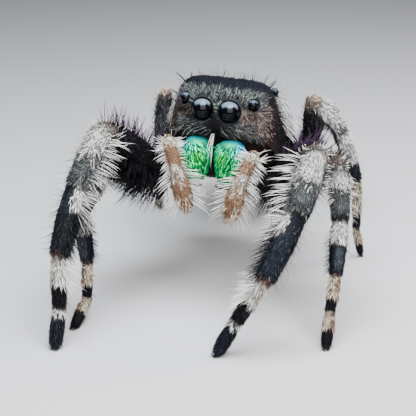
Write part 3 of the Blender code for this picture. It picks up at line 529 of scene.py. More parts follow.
def abdomenTone(own):
    marks = abdomenMarks
    x, y, z = (own / np.array(abdomen["half"])).T
    x = np.abs(x)
    shares = [inside(marks["band"], (y + marks["bow"] * x * x, z))]
    for across, along, width, length, edge, rise in marks["spots"]:
        away = np.hypot((x - across) / width, (y - along) / length)
        shares.append((1.0 - ramp(edge, marks["spotEnd"], away)) * ramp(*rise, z))
    shares.append(inside(marks["flank"], (y - marks["flankMiddle"] + marks["flankSlant"] * z, z, x)))
    colour = np.tile(tone("black"), (len(own), 1))
    for share in shares:
        colour = mixed(colour, tone("white"), share)
    return mixed(colour, tone("slate"), marks["underShare"] * ramp(*marks["under"], -z))


# the skin: one closed surface through every soft piece
skinShape = {"voxel": 0.085, "smoothing": 5, "limbSides": 26, "lowest": 0.012,
             "turns": 24, "shade": 0.42, "paleShade": 0.24, "pale": (0.08, 0.40), "fingerShade": 0.5,
             "fingerStations": 14, "fingerAcross": (1.0, 0.0, 0.2)}


def tubeMesh(bm, rings):
    verts = [[bm.verts.new(point) for point in ring] for ring in rings]
    for first, second in zip(verts, verts[1:]):
        for index in range(len(first)):
            after = (index + 1) % len(first)
            bm.faces.new((first[index], first[after], second[after], second[index]))
    bm.faces.new(verts[0])
    bm.faces.new(verts[-1])


def limbRings(limb, sides):
    angle = np.linspace(0.0, 2.0 * math.pi, sides, endpoint=False)
    out = (limb["dorsal"][:, None, :] * np.cos(angle)[None, :, None]
           + limb["front"][:, None, :] * np.sin(angle)[None, :, None])
    return limb["centre"][:, None, :] + out * limb["radius"][:, :, None]


# A short finger such as the stalk or a spinneret.
def roundLimb(points, radii, matrix):
    rows = curveThrough(np.column_stack([points, radii]), skinShape["fingerStations"])
    centre = placed(matrix, rows[:, :3])
    way = unit(np.gradient(centre, axis=0))
    dorsal = unit(np.cross(way, np.array(skinShape["fingerAcross"])))
    return {"centre": centre, "radius": rows[:, 3:], "way": way, "dorsal": dorsal,
            "front": np.cross(way, dorsal), "q": np.linspace(0.0, 1.0, len(centre))}


fingers = []
for across, up in abdomen["spinnerets"]:
    places = np.array([(across * apart, along, up * apart) for along, apart in abdomen["spinneretPath"]])
    places = places + np.array(abdomen["spinneretRoot"])
    fingers.append(roundLimb(places, np.array(abdomen["spinneretRadii"]), abdomenMatrix))
stalk = roundLimb(head["stalk"], np.full(len(head["stalk"]), head["stalkRadius"]), headMatrix)


def makeSkin():
    bm = bmesh.new()
    for grid in (headGrid, abdomenGrid):
        tubeMesh(bm, grid["points"])
    for limb in limbs + fingers + [stalk]:
        tubeMesh(bm, limbRings(limb, skinShape["limbSides"]))
    draft = addObject("skin_draft", closedMesh("skin_draft", bm))
    remesh = draft.modifiers.new("remesh", "REMESH")
    remesh.mode = "VOXEL"
    remesh.voxel_size = skinShape["voxel"]
    smooth = draft.modifiers.new("smooth", "SMOOTH")
    smooth.iterations = skinShape["smoothing"]
    bpy.context.view_layer.update()
    made = bpy.data.meshes.new_from_object(draft.evaluated_get(bpy.context.evaluated_depsgraph_get()))
    bpy.data.objects.remove(draft, do_unlink=True)
    return onePart(made)


# Keeps the largest connected surface, and drops specks of the remesh.
def onePart(mesh):
    edges = np.empty(len(mesh.edges) * 2, int)
    mesh.edges.foreach_get("vertices", edges)
    edges = edges.reshape(-1, 2)
    label, before = np.arange(len(mesh.vertices)), None
    while before is None or (label != before).any():
        before = label.copy()
        low = np.minimum(label[edges[:, 0]], label[edges[:, 1]])
        np.minimum.at(label, edges[:, 0], low)
        np.minimum.at(label, edges[:, 1], low)
        label = label[label]
    largest = np.bincount(label).argmax()
    bm = bmesh.new()
    bm.from_mesh(mesh)
    bm.verts.ensure_lookup_table()
    bmesh.ops.delete(bm, geom=[bm.verts[index] for index in np.flatnonzero(label != largest)],
                     context="VERTS")
    bm.to_mesh(mesh)
    bm.free()
    return mesh


def meshPoints(mesh):
    points = np.empty(len(mesh.vertices) * 3)
    mesh.vertices.foreach_get("co", points)
    return points.reshape(-1, 3)


def paint(layer, colours):
    layer.data.foreach_set("color", np.column_stack([colours, np.ones(len(colours))]).ravel())


def colourMesh(mesh, colours):
    paint(mesh.attributes.new("coatColour", "FLOAT_COLOR", "POINT"), colours)


# Every point of the skin takes the marking of the nearest station of a limb, head or abdomen.
def skinTones(points):
    places, colours = [], []
    for grid, toneOf in ((headGrid, headTone), (abdomenGrid, abdomenTone)):
        places.append(grid["points"].reshape(-1, 3))
        colours.append(toneOf(grid["own"].reshape(-1, 3)))
    for limb in limbs:
        turns = skinShape["turns"]
        q = np.repeat(limb["q"], turns)
        degrees = np.tile(np.arange(turns) * 360.0 / turns, len(limb["q"]))
        places.append(onLimb(limb, q, degrees)[0])
        colours.append(limbTone(limb, q, degrees))
    for limb in fingers + [stalk]:
        places.append(limb["centre"])
        colours.append(np.tile(tone("brown") * skinShape["fingerShade"], (len(limb["centre"]), 1)))
    places, colours = np.vstack(places), np.vstack(colours)
    tree = KDTree(len(places))
    for index, place in enumerate(places):
        tree.insert(place, index)
    tree.balance()
    nearest = np.array([tree.find(point)[1] for point in points])
    return colours[nearest]


skinMesh = makeSkin()
skinPoints = meshPoints(skinMesh)
skinPoints[:, 2] = np.maximum(skinPoints[:, 2], skinShape["lowest"])
skinMesh.vertices.foreach_set("co", skinPoints.ravel())
bareTones = skinTones(skinPoints)
paleShare = ramp(*skinShape["pale"], bareTones.mean(axis=1))[:, None]
skinShade = skinShape["shade"] + (skinShape["paleShade"] - skinShape["shade"]) * paleShare
colourMesh(skinMesh, bareTones * skinShade)
skinMesh.calc_loop_triangles()
skinTree = BVHTree.FromPolygons([tuple(point) for point in skinPoints],
                                [tuple(face.vertices) for face in skinMesh.polygons])
print("skin", len(skinMesh.loop_triangles), "triangles")

# tufts: thin solid blades, each with its colours and its own patch of the map
seeds = {"head": 11, "abdomen": 23, "fingers": 37, "bristles": 71, "limbs": 100}
bladeRings = {
    "short": ((0.0, 1.0), (0.52, 0.82)),
    "long": ((0.0, 1.0), (0.36, 0.92), (0.70, 0.62)),
}
patch = 0.003   # size of a blade on the map
mapMargin = 0.01
hairRoom = np.array((0.33, 0.55, 0.25))   # how far hair may leave the box of the solids
coatRows = []


# One batch of tufts. stand is the angle off the skin in degrees, and bend lays the tip down again.
def tufts(root, normal, lie, length, width, stand, bend, rootTone, tipTone, place, sink=0.05, flat=0.6):
    sizes = {"length": length, "width": width, "stand": stand, "bend": bend, "flat": flat}
    batch = {key: np.broadcast_to(np.asarray(value, float), (len(root),)) for key, value in sizes.items()}
    batch.update(root=root - normal * sink, normal=unit(normal), lie=unit(lie), rootTone=rootTone,
                 tipTone=tipTone, place=place)
    return batch


def joined(batches):
    return {key: np.concatenate([np.broadcast_to(batch[key], (len(batch["root"]),) + np.shape(batch[key])[1:])
                                 for batch in batches]) for key in batches[0]}


# Leaves out tufts whose root is buried where two pieces of the body meet.
def exposed(batch, reach=0.14):
    keep = np.array([skinTree.find_nearest(point, reach)[0] is not None for point in batch["root"]], bool)
    return {key: value[keep] for key, value in batch.items()}


def tuftObject(name, batch, kind, material):
    batch = exposed(batch)
    rings = bladeRings[kind]
    count = len(batch["root"])
    normal, lie = batch["normal"], batch["lie"]
    lie = unit(lie - normal * (lie * normal).sum(axis=1, keepdims=True))
    side = np.cross(lie, normal)
    stand = np.radians(batch["stand"])[:, None]
    laid = stand * (1.0 - batch["bend"][:, None])
    early = lie * np.cos(stand) + normal * np.sin(stand)
    late = lie * np.cos(laid) + normal * np.sin(laid)
    length, width, flat = (batch[key][:, None] for key in ("length", "width", "flat"))
    reach = (early + late) * 0.5 * length
    room = np.where(reach > 0.0, highest + hairRoom - batch["root"], batch["root"] - lowest + hairRoom)
    fit = np.clip((room - width) / np.maximum(np.abs(reach), 1e-6), 0.05, 1.0)
    length = length * fit[:, :2].min(axis=1, keepdims=True) * np.where(reach[:, 2:] > 0.0, fit[:, 2:], 1.0)
    rows, colours, spread = [], [], []
    for share, thick in rings:
        middle = batch["root"] + (early * share + (late - early) * share * share * 0.5) * length
        raised = unit(np.cross(side, early + (late - early) * share))
        for corner, degrees in enumerate((90.0, 210.0, 330.0)):
            angle = math.radians(degrees)
            rows.append(middle + (side * math.cos(angle) - raised * math.sin(angle) * flat)
                        * width * thick * 0.5)
            colours.append(mixed(batch["rootTone"], batch["tipTone"], np.full(count, share)))
            spread.append((share - 0.5, (corner - 1) * 0.5))
    rows.append(batch["root"] + (early + (late - early) * 0.5) * length)
    colours.append(batch["tipTone"])
    spread.append((0.5, 0.0))
    points = np.stack(rows, axis=1)
    points = np.clip(points, lowest - hairRoom, highest + hairRoom)
    points[..., 2] = np.maximum(points[..., 2], skinShape["lowest"])
    per = len(rows)
    faces = [(0, 2, 1)]
    for ring in range(len(rings) - 1):
        for index in range(3):
            first, second = ring * 3 + index, ring * 3 + (index + 1) % 3
            faces += [(first, second, second + 3), (first, second + 3, first + 3)]
    last = (len(rings) - 1) * 3
    faces += [(last + index, last + (index + 1) % 3, per - 1) for index in range(3)]
    triangles = (np.arange(count)[:, None, None] * per + np.array(faces)[None]).reshape(-1, 3)
    mesh = bpy.data.meshes.new(name)
    mesh.vertices.add(count * per)
    mesh.vertices.foreach_set("co", (points.reshape(-1, 3) * mm).ravel())
    mesh.loops.add(triangles.size)
    mesh.loops.foreach_set("vertex_index", triangles.ravel())
    mesh.polygons.add(len(triangles))
    mesh.polygons.foreach_set("loop_start", np.arange(0, triangles.size, 3))
    colourMesh(mesh, np.stack(colours, axis=1).reshape(-1, 3))
    local = (batch["place"][:, None, :] + np.array(spread)[None] * patch).reshape(-1, 2)
    mesh.uv_layers.new(name="OFBake").data.foreach_set("uv", local[triangles.ravel()].ravel())
    mesh.update(calc_edges=True)
    makePiece(name, mesh, material)
    coatRows.append(len(triangles))


# Random places on a grid, as many on each face as its area times the weight asks for.
def sampleGrid(grid, count, weight, draws):
    points = grid["points"]
    down = points[1:] - points[:-1]
    aside = (np.roll(points, -1, axis=1) - points)[:-1]
    odds = (np.linalg.norm(np.cross(down, aside), axis=2) * weight.reshape(points.shape[:2])[:-1]).ravel()
    cells = draws.choice(len(odds), size=count, p=odds / odds.sum())
    row, column = np.divmod(cells, points.shape[1])
    after = (column + 1) % points.shape[1]
    s, t = draws.random((2, count, 1))
    found = {}
    for key in ("points", "normals", "own", "ownNormals"):
        field = grid[key]
        found[key] = ((field[row, column] * (1 - t) + field[row, after] * t) * (1 - s)
                      + (field[row + 1, column] * (1 - t) + field[row + 1, after] * t) * s)
    u = (row + s[:, 0]) / (points.shape[0] - 1)
    v = (column + t[:, 0]) / points.shape[1]
    found["place"] = mapPlace(u, v)
    return found


def mapPlace(u, v):
    return mapMargin + (1.0 - 2.0 * mapMargin) * np.clip(np.stack([u, v], axis=1), 0.0, 1.0)


def limbPlace(limb, q, degrees):
    low, high = limb["q"][0], limb["q"][-1]
    return mapPlace((q - low) / (high - low), (degrees % 360.0) / 360.0)


# Random places along and round a limb, as many at each station as its length and girth ask for.
def sampleLimb(limb, count, qFrom, qTo, draws, steps=240):
    q = np.linspace(qFrom, qTo, steps)
    place = onLimb(limb, q, np.zeros(len(q)))[0]
    radius = np.interp(q, limb["q"], limb["radius"][:, 0])
    step = np.linalg.norm(np.gradient(place, axis=0), axis=1) * radius
    total = np.cumsum(step)
    spot = np.interp(draws.random(count) * total[-1], total, q)
    return spot, draws.random(count) * 360.0


# Small differences from hair to hair.
def shaken(colours, amount, draws):
    return colours * (1.0 + amount * (draws.random((len(colours), 1)) - 0.5) * 2.0)


# finishes: roughness, scale and strength of the mottling, and reflection
finishes = {
    "short_fur": (0.68, 2600.0, 0.5, 0.12),
    "long_hair": (0.45, 1800.0, 0.3, 0.25),
    "skin": (0.60, 1400.0, 0.6, 0.10),
    "eye_lens": (0.05, 900.0, 0.3, 0.13),
    "green_scales": (0.42, 9000.0, 0.9, 0.04),
}
skinBumps = (("Strength", 0.5), ("Distance", 0.00003))


# Colour from the piece's own attribute, broken up by fine noise.
def hairToneGroup():
    group = bpy.data.node_groups.new("hairTone", "ShaderNodeTree")
    for label, kind, value in (("Colour", "NodeSocketColor", (0.5, 0.5, 0.5, 1.0)),
                               ("Scale", "NodeSocketFloat", 3000.0), ("Variation", "NodeSocketFloat", 0.35)):
        group.interface.new_socket(name=label, in_out="INPUT", socket_type=kind).default_value = value
    for label, kind in (("Colour", "NodeSocketColor"), ("Mask", "NodeSocketFloat")):
        group.interface.new_socket(name=label, in_out="OUTPUT", socket_type=kind)
    given, result = group.nodes.new("NodeGroupInput"), group.nodes.new("NodeGroupOutput")
    coordinates = group.nodes.new("ShaderNodeTexCoord")
    noise = addNode(group.nodes, "ShaderNodeTexNoise", (("Detail", 4.0),))
    centred = addNode(group.nodes, "ShaderNodeMath", ((1, 0.5),), operation="SUBTRACT")
    span = addNode(group.nodes, "ShaderNodeMath", ((2, 1.0),), operation="MULTIPLY_ADD")
    scaled = addNode(group.nodes, "ShaderNodeVectorMath", operation="SCALE")
    wire((coordinates, "Object", noise, "Vector"), (given, "Scale", noise, "Scale"),
         (noise, "Fac", centred, 0), (centred, 0, span, 0), (given, "Variation", span, 1),
         (given, "Colour", scaled, 0), (span, 0, scaled, "Scale"), (scaled, 0, result, "Colour"),
         (noise, "Fac", result, "Mask"))
    return group


hairTones = hairToneGroup()


def newMaterial(name, values):
    material = bpy.data.materials.new(name)
    material.use_nodes = True
    nodes = material.node_tree.nodes
    shader = nodes["Principled BSDF"]
    for socket, value in values:
        shader.inputs[socket].default_value = value
    return material, shader, nodes


def hairMaterial(name):
    roughness, scale, variation, reflection = finishes[name]
    material, shader, nodes = newMaterial(name, (("Roughness", roughness),
                                                 ("Specular IOR Level", reflection)))
    attribute = addNode(nodes, "ShaderNodeAttribute", attribute_name="coatColour")
    shade = addNode(nodes, "ShaderNodeGroup", node_tree=hairTones)
    for socket, value in (("Scale", scale), ("Variation", variation)):
        shade.inputs[socket].default_value = value
    wire((attribute, "Color", shade, "Colour"), (shade, "Colour", shader, "Base Color"))
    return material, shader, nodes, shade


furMaterial = hairMaterial("short_fur")[0]
fringeMaterial = hairMaterial("long_hair")[0]
lensMaterial = hairMaterial("eye_lens")[0]
skinMaterial, skinShader, skinNodes, skinNoise = hairMaterial("skin")
skinBump = addNode(skinNodes, "ShaderNodeBump", skinBumps)
wire((skinNoise, "Mask", skinBump, "Height"), (skinBump, "Normal", skinShader, "Normal"))

skinMesh.transform(Matrix.Scale(mm, 4))
skin = makePiece("skin", skinMesh, skinMaterial)
flesh = [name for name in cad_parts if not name.startswith(("eye_", "chelicera_"))]
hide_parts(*flesh)

# eyes
eyes = {
    # place on the left side in the head's frame, radius, and the way the eye looks
    "front_middle": ((0.57, 0.00, 0.00), 0.45, (0.05, -1.0, 0.02)),
    "front_side": ((1.43, 0.45, 0.36), 0.25, (0.42, -1.0, 0.06)),
    "back_small": ((1.84, 1.50, 0.66), 0.12, (1.0, -0.3, 0.35)),
    "back_side": ((1.88, 2.60, 0.94), 0.19, (1.0, 0.15, 0.50)),
}
# the lens is dark, with a painted reflection of the light above on its upper front, weaker on the smaller
# eyes
eyeRim = {"segments": 64, "lensRings": 22, "lensReach": 96.0, "rimWidth": 0.08, "rimHeight": 0.12,
          "rimStart": 1.01, "rimMiddle": 0.10, "rimTurns": (150.0, 100.0, 50.0, 0.0, -60.0),
          "foot": ((0.90, -0.45), (0.0, -0.60)),   # out and up, in shares of the radius
          "dark": (0.0011, 0.0012, 0.0022), "paintedReflection": (0.088, 0.126, 0.168), "smallEyes": 0.40,
          "paintedReflectionFrom": (0.50, 0.70), "paintedReflectionSides": (0.66, 0.90), "paintedReflectionFront": (0.08, 0.30),
          "paintedReflectionWaves": ((0.05, 9.0), (0.04, 23.0))}


# A lens dome with a rounded collar where it leaves the face, spun round the way it looks, with a painted
# reflection of the light above on the upper front of the lens.
def makeEye(name, place, radius, look, sign):
    lens = np.radians(np.linspace(0.0, eyeRim["lensReach"], eyeRim["lensRings"]))
    collar = np.radians(eyeRim["rimTurns"])
    rows = np.vstack([np.stack([np.sin(lens), np.cos(lens)], axis=1),
                      np.stack([eyeRim["rimStart"] + eyeRim["rimWidth"] * (0.5 + 0.5 * np.cos(collar)),
                                eyeRim["rimMiddle"] + eyeRim["rimHeight"] * np.sin(collar)], axis=1),
                      eyeRim["foot"]]) * radius
    turns = np.linspace(0.0, 2.0 * math.pi, eyeRim["segments"], endpoint=False)
    bm = bmesh.new()
    rings = []
    for out, rise in rows:
        angles = turns if out > 1e-6 else (0.0,)   # the poles are single points
        rings.append([bm.verts.new((math.cos(a) * out, math.sin(a) * out, rise)) for a in angles])
    for first, second in zip(rings, rings[1:]):
        for index in range(eyeRim["segments"]):
            after = (index + 1) % eyeRim["segments"]
            if len(first) == 1:
                bm.faces.new((first[0], second[index], second[after]))
            elif len(second) == 1:
                bm.faces.new((first[index], second[0], first[after]))
            else:
                bm.faces.new((first[index], second[index], second[after], first[after]))
    mesh = closedMesh(name, bm)
    turn = Vector(mirrored(look, sign)).to_track_quat("Z", "Y").to_matrix().to_4x4()
    middle = Matrix.Translation(mirrored(place, sign))
    mesh.transform(headMatrix @ middle @ turn)
    # The upper front of the lens is painted with the reflection of the light above it.
    out = unit(meshPoints(mesh) - np.array(headMatrix @ middle.translation))
    wave = sum(height * np.sin(speed * out[:, 0]) for height, speed in eyeRim["paintedReflectionWaves"])
    paintedReflection = (ramp(*eyeRim["paintedReflectionFrom"], out[:, 2] + wave)
             * (1.0 - ramp(*eyeRim["paintedReflectionSides"], np.abs(out[:, 0])))
             * ramp(*eyeRim["paintedReflectionFront"], -out[:, 1]))
    strength = 1.0 if name.startswith("lens_front_middle") else eyeRim["smallEyes"]
    dark = np.tile(np.array(eyeRim["dark"]), (len(out), 1))
    colourMesh(mesh, mixed(dark, np.array(eyeRim["paintedReflection"]), paintedReflection * strength))
    mesh.transform(Matrix.Scale(mm, 4))
    return makePiece(name, mesh, lensMaterial)


for eyeName, (place, radius, look) in eyes.items():
    for side, sign in (("left", 1.0), ("right", -1.0)):
        eye = makeEye("lens_" + eyeName + "_" + side, place, radius, look, sign)
        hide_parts("eye_" + eyeName + "_" + side)
print("eyes")

# jaws, with their fangs and rows of scales
jaw = {
    "middle": (0.755, 0.46, -2.10), "half": (0.610, 0.755, 0.930), "splay": 4.0, "taper": 0.12,
    "rings": 56, "sides": 64,
    "fang": (((0.95, 0.30, -2.60), 0.21), ((0.82, 0.20, -3.03), 0.18), ((0.54, 0.14, -3.17), 0.12),
             ((0.28, 0.12, -3.10), 0.05)),
    "squareness": 2.8, "bedShade": 0.88,
    "green": (0.0, 0.180, 0.048), "mintTopPaintedHighlight": (0.0, 0.320, 0.155), "blueCorner": (0.0, 0.10, 0.26),
    "yellowPaintedHighlight": (0.012, 0.33, 0.012), "darkFoot": (0.0, 0.06, 0.02),
    # patches: colour, strength, then from, to and softness towards the outer side and upwards
    # the mint top is partly the jaw's own colour and partly a painted highlight, and the yellow patch is a
    # painted highlight
    "patches": (("mintTopPaintedHighlight", 1.00, anywhere, (0.35, 99.0, 0.35)),
                ("yellowPaintedHighlight", 0.60, (-0.70, 0.05, 0.20), (0.12, 0.55, 0.20)),
                ("blueCorner", 0.85, (0.525, 99.0, 0.275), (0.475, 99.0, 0.225)),
                ("blueCorner", 0.60, anywhere, (0.895, 99.0, 0.075)),
                ("darkFoot", 1.00, anywhere, (-99.0, -0.625, 0.325))),
    "fangSides": 20, "metallic": 0.50,
    "cells": (("Scale", 15000.0),), "bumps": (("Strength", 0.6), ("Distance", 0.00002)),
    "poles": (0.5, 179.5),
    # one scale: along, half width and rise, then how far its middle bulges and how thick it is
    "scaleRows": ((0.0, 0.07, 0.0), (0.35, 0.12, 0.12), (0.75, 0.09, 0.26), (1.0, 0.02, 0.30)),
    "scaleBulge": 0.02, "scaleThick": 0.04, "scaleSpread": (0.7, 1.15), "scaleDensity": 250.0,
    "scaleSize": 0.22,
    "paintedScaleGlint": (0.34, 5.0),   # darkest and brightest scale, as shares of the tone below it; the brightest are painted glints
    "scaleArea": ((-0.92, 0.70, 0.20), (-99.0, 0.15, 0.25)), "scaleLie": (-0.45, 0.0, -1.0),
    # ridges: height, number, then size and number of their waves
    "ridges": (0.012, 34.0, 2.0, 3.0), "ridgesFrom": (-0.05, 0.50),
    "seeds": {"left": (5, 62), "right": (6, 61)},
}


# Green, with a mint top that is partly the jaw's own colour and partly a painted highlight, blue at the upper
# outer corner, a painted yellow highlight at the upper inner one and a dark foot.
def jawTone(local):
    out, rise = local[:, 0], local[:, 2]
    colour = np.tile(np.array(jaw["green"]), (len(local), 1))
    for name, strength, *spans in jaw["patches"]:
        colour = mixed(colour, np.array(jaw[name]), strength * inside(spans, (out, rise)))
    return colour


def jawMaterial():
    material, shader, nodes = hairMaterial("green_scales")[:3]
    shader.inputs["Metallic"].default_value = jaw["metallic"]
    coordinates = nodes.new("ShaderNodeTexCoord")
    cells = addNode(nodes, "ShaderNodeTexVoronoi", jaw["cells"])
    bump = addNode(nodes, "ShaderNodeBump", jaw["bumps"])
    wire((coordinates, "Object", cells, "Vector"), (cells, "Distance", bump, "Height"),
         (bump, "Normal", shader, "Normal"))
    return material


scaleMaterial = jawMaterial()


# One scale: a thin leaf, bowed along its length, a millimetre long before it is scaled.
def scaleTemplate():
    bm = bmesh.new()
    upper = [[bm.verts.new((side * half, along, rise + jaw["scaleBulge"] * (side == 0)))
              for side in (-1, 0, 1)] for along, half, rise in jaw["scaleRows"]]
    lower = [[bm.verts.new((side * half, along, rise - jaw["scaleThick"])) for side in (-1, 0, 1)]
             for along, half, rise in jaw["scaleRows"]]
    for front, back in zip(zip(upper, lower), zip(upper[1:], lower[1:])):
        for index in range(2):
            bm.faces.new((front[0][index], front[0][index + 1], back[0][index + 1], back[0][index]))
            bm.faces.new((front[1][index + 1], front[1][index], back[1][index], back[1][index + 1]))
        bm.faces.new((front[0][0], back[0][0], back[1][0], front[1][0]))
        bm.faces.new((front[0][2], front[1][2], back[1][2], back[0][2]))
    for row in (0, -1):
        for index in range(2):
            bm.faces.new((upper[row][index], upper[row][index + 1], lower[row][index + 1], lower[row][index]))
    return addObject("scale_template", closedMesh("scale_template", bm))


# Scatters scales over a piece by its own density, turned to its own lie, and makes them real.
def scaleTree(template, material):
    tree = bpy.data.node_groups.new("scaleRows", "GeometryNodeTree")
    for label, kind in (("Geometry", "NodeSocketGeometry"), ("Density", "NodeSocketFloat"),
                        ("Scale Size", "NodeSocketFloat"), ("Seed", "NodeSocketInt")):
        tree.interface.new_socket(name=label, in_out="INPUT", socket_type=kind)
    tree.interface.new_socket(name="Geometry", in_out="OUTPUT", socket_type="NodeSocketGeometry")
    nodes = tree.nodes
    given, result = nodes.new("NodeGroupInput"), nodes.new("NodeGroupOutput")
    density = addNode(nodes, "GeometryNodeInputNamedAttribute", (("Name", "scaleDensity"),),
                      data_type="FLOAT")
    lie = addNode(nodes, "GeometryNodeInputNamedAttribute", (("Name", "scaleLie"),), data_type="FLOAT_VECTOR")
    amount = addNode(nodes, "ShaderNodeMath", operation="MULTIPLY")
    scatter = nodes.new("GeometryNodeDistributePointsOnFaces")
    axes = addNode(nodes, "FunctionNodeAxesToRotation", primary_axis="Z", secondary_axis="Y")
    source = addNode(nodes, "GeometryNodeObjectInfo", (("Object", template),))
    smallest, largest = jaw["scaleSpread"]
    vary = addNode(nodes, "FunctionNodeRandomValue", ((2, smallest), (3, largest)), data_type="FLOAT")
    size = addNode(nodes, "ShaderNodeMath", operation="MULTIPLY")
    place = nodes.new("GeometryNodeInstanceOnPoints")
    real = nodes.new("GeometryNodeRealizeInstances")
    finish = addNode(nodes, "GeometryNodeSetMaterial", (("Material", material),))
    wire((given, "Density", amount, 0), (density, "Attribute", amount, 1),
         (given, "Geometry", scatter, "Mesh"), (amount, 0, scatter, "Density"),
         (given, "Seed", scatter, "Seed"),
         (scatter, "Normal", axes, "Primary Axis"), (lie, "Attribute", axes, "Secondary Axis"),
         (vary, 1, size, 0), (given, "Scale Size", size, 1), (scatter, "Points", place, "Points"),
         (source, "Geometry", place, "Instance"), (axes, "Rotation", place, "Rotation"),
         (size, 0, place, "Scale"), (place, "Instances", real, "Geometry"),
         (real, "Geometry", finish, "Geometry"), (finish, "Geometry", result, "Geometry"))
    return tree


def socketId(tree, label):
    return next(item.identifier for item in tree.interface.items_tree
                if item.name == label and item.in_out == "INPUT")


def limbMesh(name, pieces, sides):
    bm = bmesh.new()
    for piece in pieces:
        tubeMesh(bm, limbRings(piece, sides))
    mesh = closedMesh(name, bm)
    mesh.transform(Matrix.Scale(mm, 4))
    return mesh


def makeJaw(side, sign, tree):
    polar = np.radians(np.linspace(*jaw["poles"], jaw["rings"]))[:, None]
    turn = np.linspace(0.0, 2.0 * math.pi, jaw["sides"], endpoint=False)[None, :]
    rise = np.cos(polar) * np.ones_like(turn)
    power = 2.0 / jaw["squareness"]
    height, number, swing, waves = jaw["ridges"]
    ridges = height * np.sin(rise * number + swing * np.sin(turn * waves)) * ramp(*jaw["ridgesFrom"], -rise)
    girth = np.sin(polar) ** power * (1.0 + jaw["taper"] * rise) * (1.0 + ridges)
    local = np.stack([girth * np.sin(turn), girth * np.cos(turn),
                      np.sign(rise) * np.abs(rise) ** power], axis=2)
    tilt = Matrix.Rotation(math.radians(-jaw["splay"] * sign), 4, "Y")
    matrix = headMatrix @ Matrix.Translation(mirrored(jaw["middle"], sign)) @ tilt
    grid = gridSurface(local * np.array(jaw["half"]), matrix)
    bm = bmesh.new()
    tubeMesh(bm, grid["points"])
    mesh = closedMesh("jaw_" + side, bm)
    flat = local.reshape(-1, 3) * np.array((sign, 1.0, 1.0))
    colourMesh(mesh, jawTone(flat))
    density = inside(jaw["scaleArea"], (flat[:, 2], flat[:, 1]))
    mesh.attributes.new("scaleDensity", "FLOAT", "POINT").data.foreach_set("value", density)
    lie = turned(matrix, np.tile(np.array(mirrored(jaw["scaleLie"], sign)), (len(flat), 1)))
    mesh.attributes.new("scaleLie", "FLOAT_VECTOR", "POINT").data.foreach_set("vector", lie.ravel())
    bed = addObject("scale_bed", mesh)
    grow = bed.modifiers.new("scales", "NODES")
    grow.node_group = tree
    scatterSeed, glintSeed = jaw["seeds"][side]
    for label, value in (("Density", jaw["scaleDensity"]), ("Scale Size", jaw["scaleSize"]),
                         ("Seed", scatterSeed)):
        grow[socketId(tree, label)] = value
    bpy.context.view_layer.update()
    scales = bpy.data.meshes.new_from_object(bed.evaluated_get(bpy.context.evaluated_depsgraph_get()))
    bpy.data.objects.remove(bed, do_unlink=True)
    scales.transform(Matrix.Scale(mm, 4))
    own = np.empty(len(scales.vertices) * 4)
    scales.attributes["coatColour"].data.foreach_get("color", own)
    corners = len(template.data.vertices)
    # Each scale's tone is scaled at random, and the bright ones are painted glints.
    dark, bright = jaw["paintedScaleGlint"]
    glint = (dark + (bright - dark)
             * np.random.default_rng(glintSeed).random(len(scales.vertices) // corners) ** 2)
    own = own.reshape(-1, 4)[:, :3] * np.repeat(glint, corners)[:, None]
    paint(scales.attributes["coatColour"], np.clip(own, 0.0, 1.0))
    mesh.transform(Matrix.Scale(mm, 4))
    paint(mesh.attributes["coatColour"], jawTone(flat) * (1.0 - jaw["bedShade"] * density[:, None]))
    piece = makePiece("jaw_" + side, mesh, scaleMaterial)
    makePiece("jaw_scales_" + side, scales, scaleMaterial)
    places = [mirrored(place, sign) for place, radius in jaw["fang"]]
    fang = roundLimb(places, np.array([radius for place, radius in jaw["fang"]]), headMatrix)
    makePiece("fang_" + side, limbMesh("fang_" + side, [fang], jaw["fangSides"]), clawMaterial)
    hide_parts("chelicera_" + side)
    return len(scales.polygons)


# claws, a pair at the tip of every foot, with the dark shell that the fangs share
clawShape = {
    "length": 0.20, "radius": 0.032, "narrowing": 0.8, "apart": 0.07, "rise": 0.03, "arch": 0.7,
    "lowest": 0.035, "stations": 6, "sides": 10, "shellNoise": (("Scale", 4000.0),),
    "shell": (("Roughness", 0.22), ("Coat Weight", 0.5), ("Coat Roughness", 0.1)),
    "shellTones": ((0.004, 0.002, 0.002, 1.0), (0.035, 0.010, 0.006, 1.0)),
}


def shellMaterial():
    material, shader, nodes = newMaterial("dark_shell", clawShape["shell"])
    coordinates = nodes.new("ShaderNodeTexCoord")
    noise = addNode(nodes, "ShaderNodeTexNoise", clawShape["shellNoise"])
    band = nodes.new("ShaderNodeValToRGB")
    for element, colour in zip(band.color_ramp.elements, clawShape["shellTones"]):
        element.color = colour
    wire((coordinates, "Object", noise, "Vector"), (noise, "Fac", band, "Fac"),
         (band, "Color", shader, "Base Color"))
    return material


clawMaterial = shellMaterial()
template = scaleTemplate()
rowsTree = scaleTree(template, scaleMaterial)
scaleFaces = makeJaw("left", 1.0, rowsTree) + makeJaw("right", -1.0, rowsTree)
bpy.data.objects.remove(template, do_unlink=True)
print("jaws,", scaleFaces, "faces of scales")


def makeClaws():
    pieces = []
    for limb in limbs[:len(legs)]:
        tip, way, dorsal, front = (limb[key][-1] for key in ("centre", "way", "dorsal", "front"))
        for sign in (1.0, -1.0):
            root = tip + front * clawShape["apart"] * sign + dorsal * clawShape["rise"]
            share = np.linspace(0.0, 1.0, clawShape["stations"])[:, None]
            places = root + ((way * share + dorsal * clawShape["arch"] * share * (1.0 - share))
                             * clawShape["length"])
            places[:, 2] = np.maximum(places[:, 2], clawShape["lowest"])
            radii = clawShape["radius"] * (1.0 - clawShape["narrowing"] * share[:, 0] ** 2)
            pieces.append(roundLimb(places, radii, Matrix.Identity(4)))
    makePiece("claws", limbMesh("claws", pieces, clawShape["sides"]), clawMaterial)


makeClaws()
print("claws")

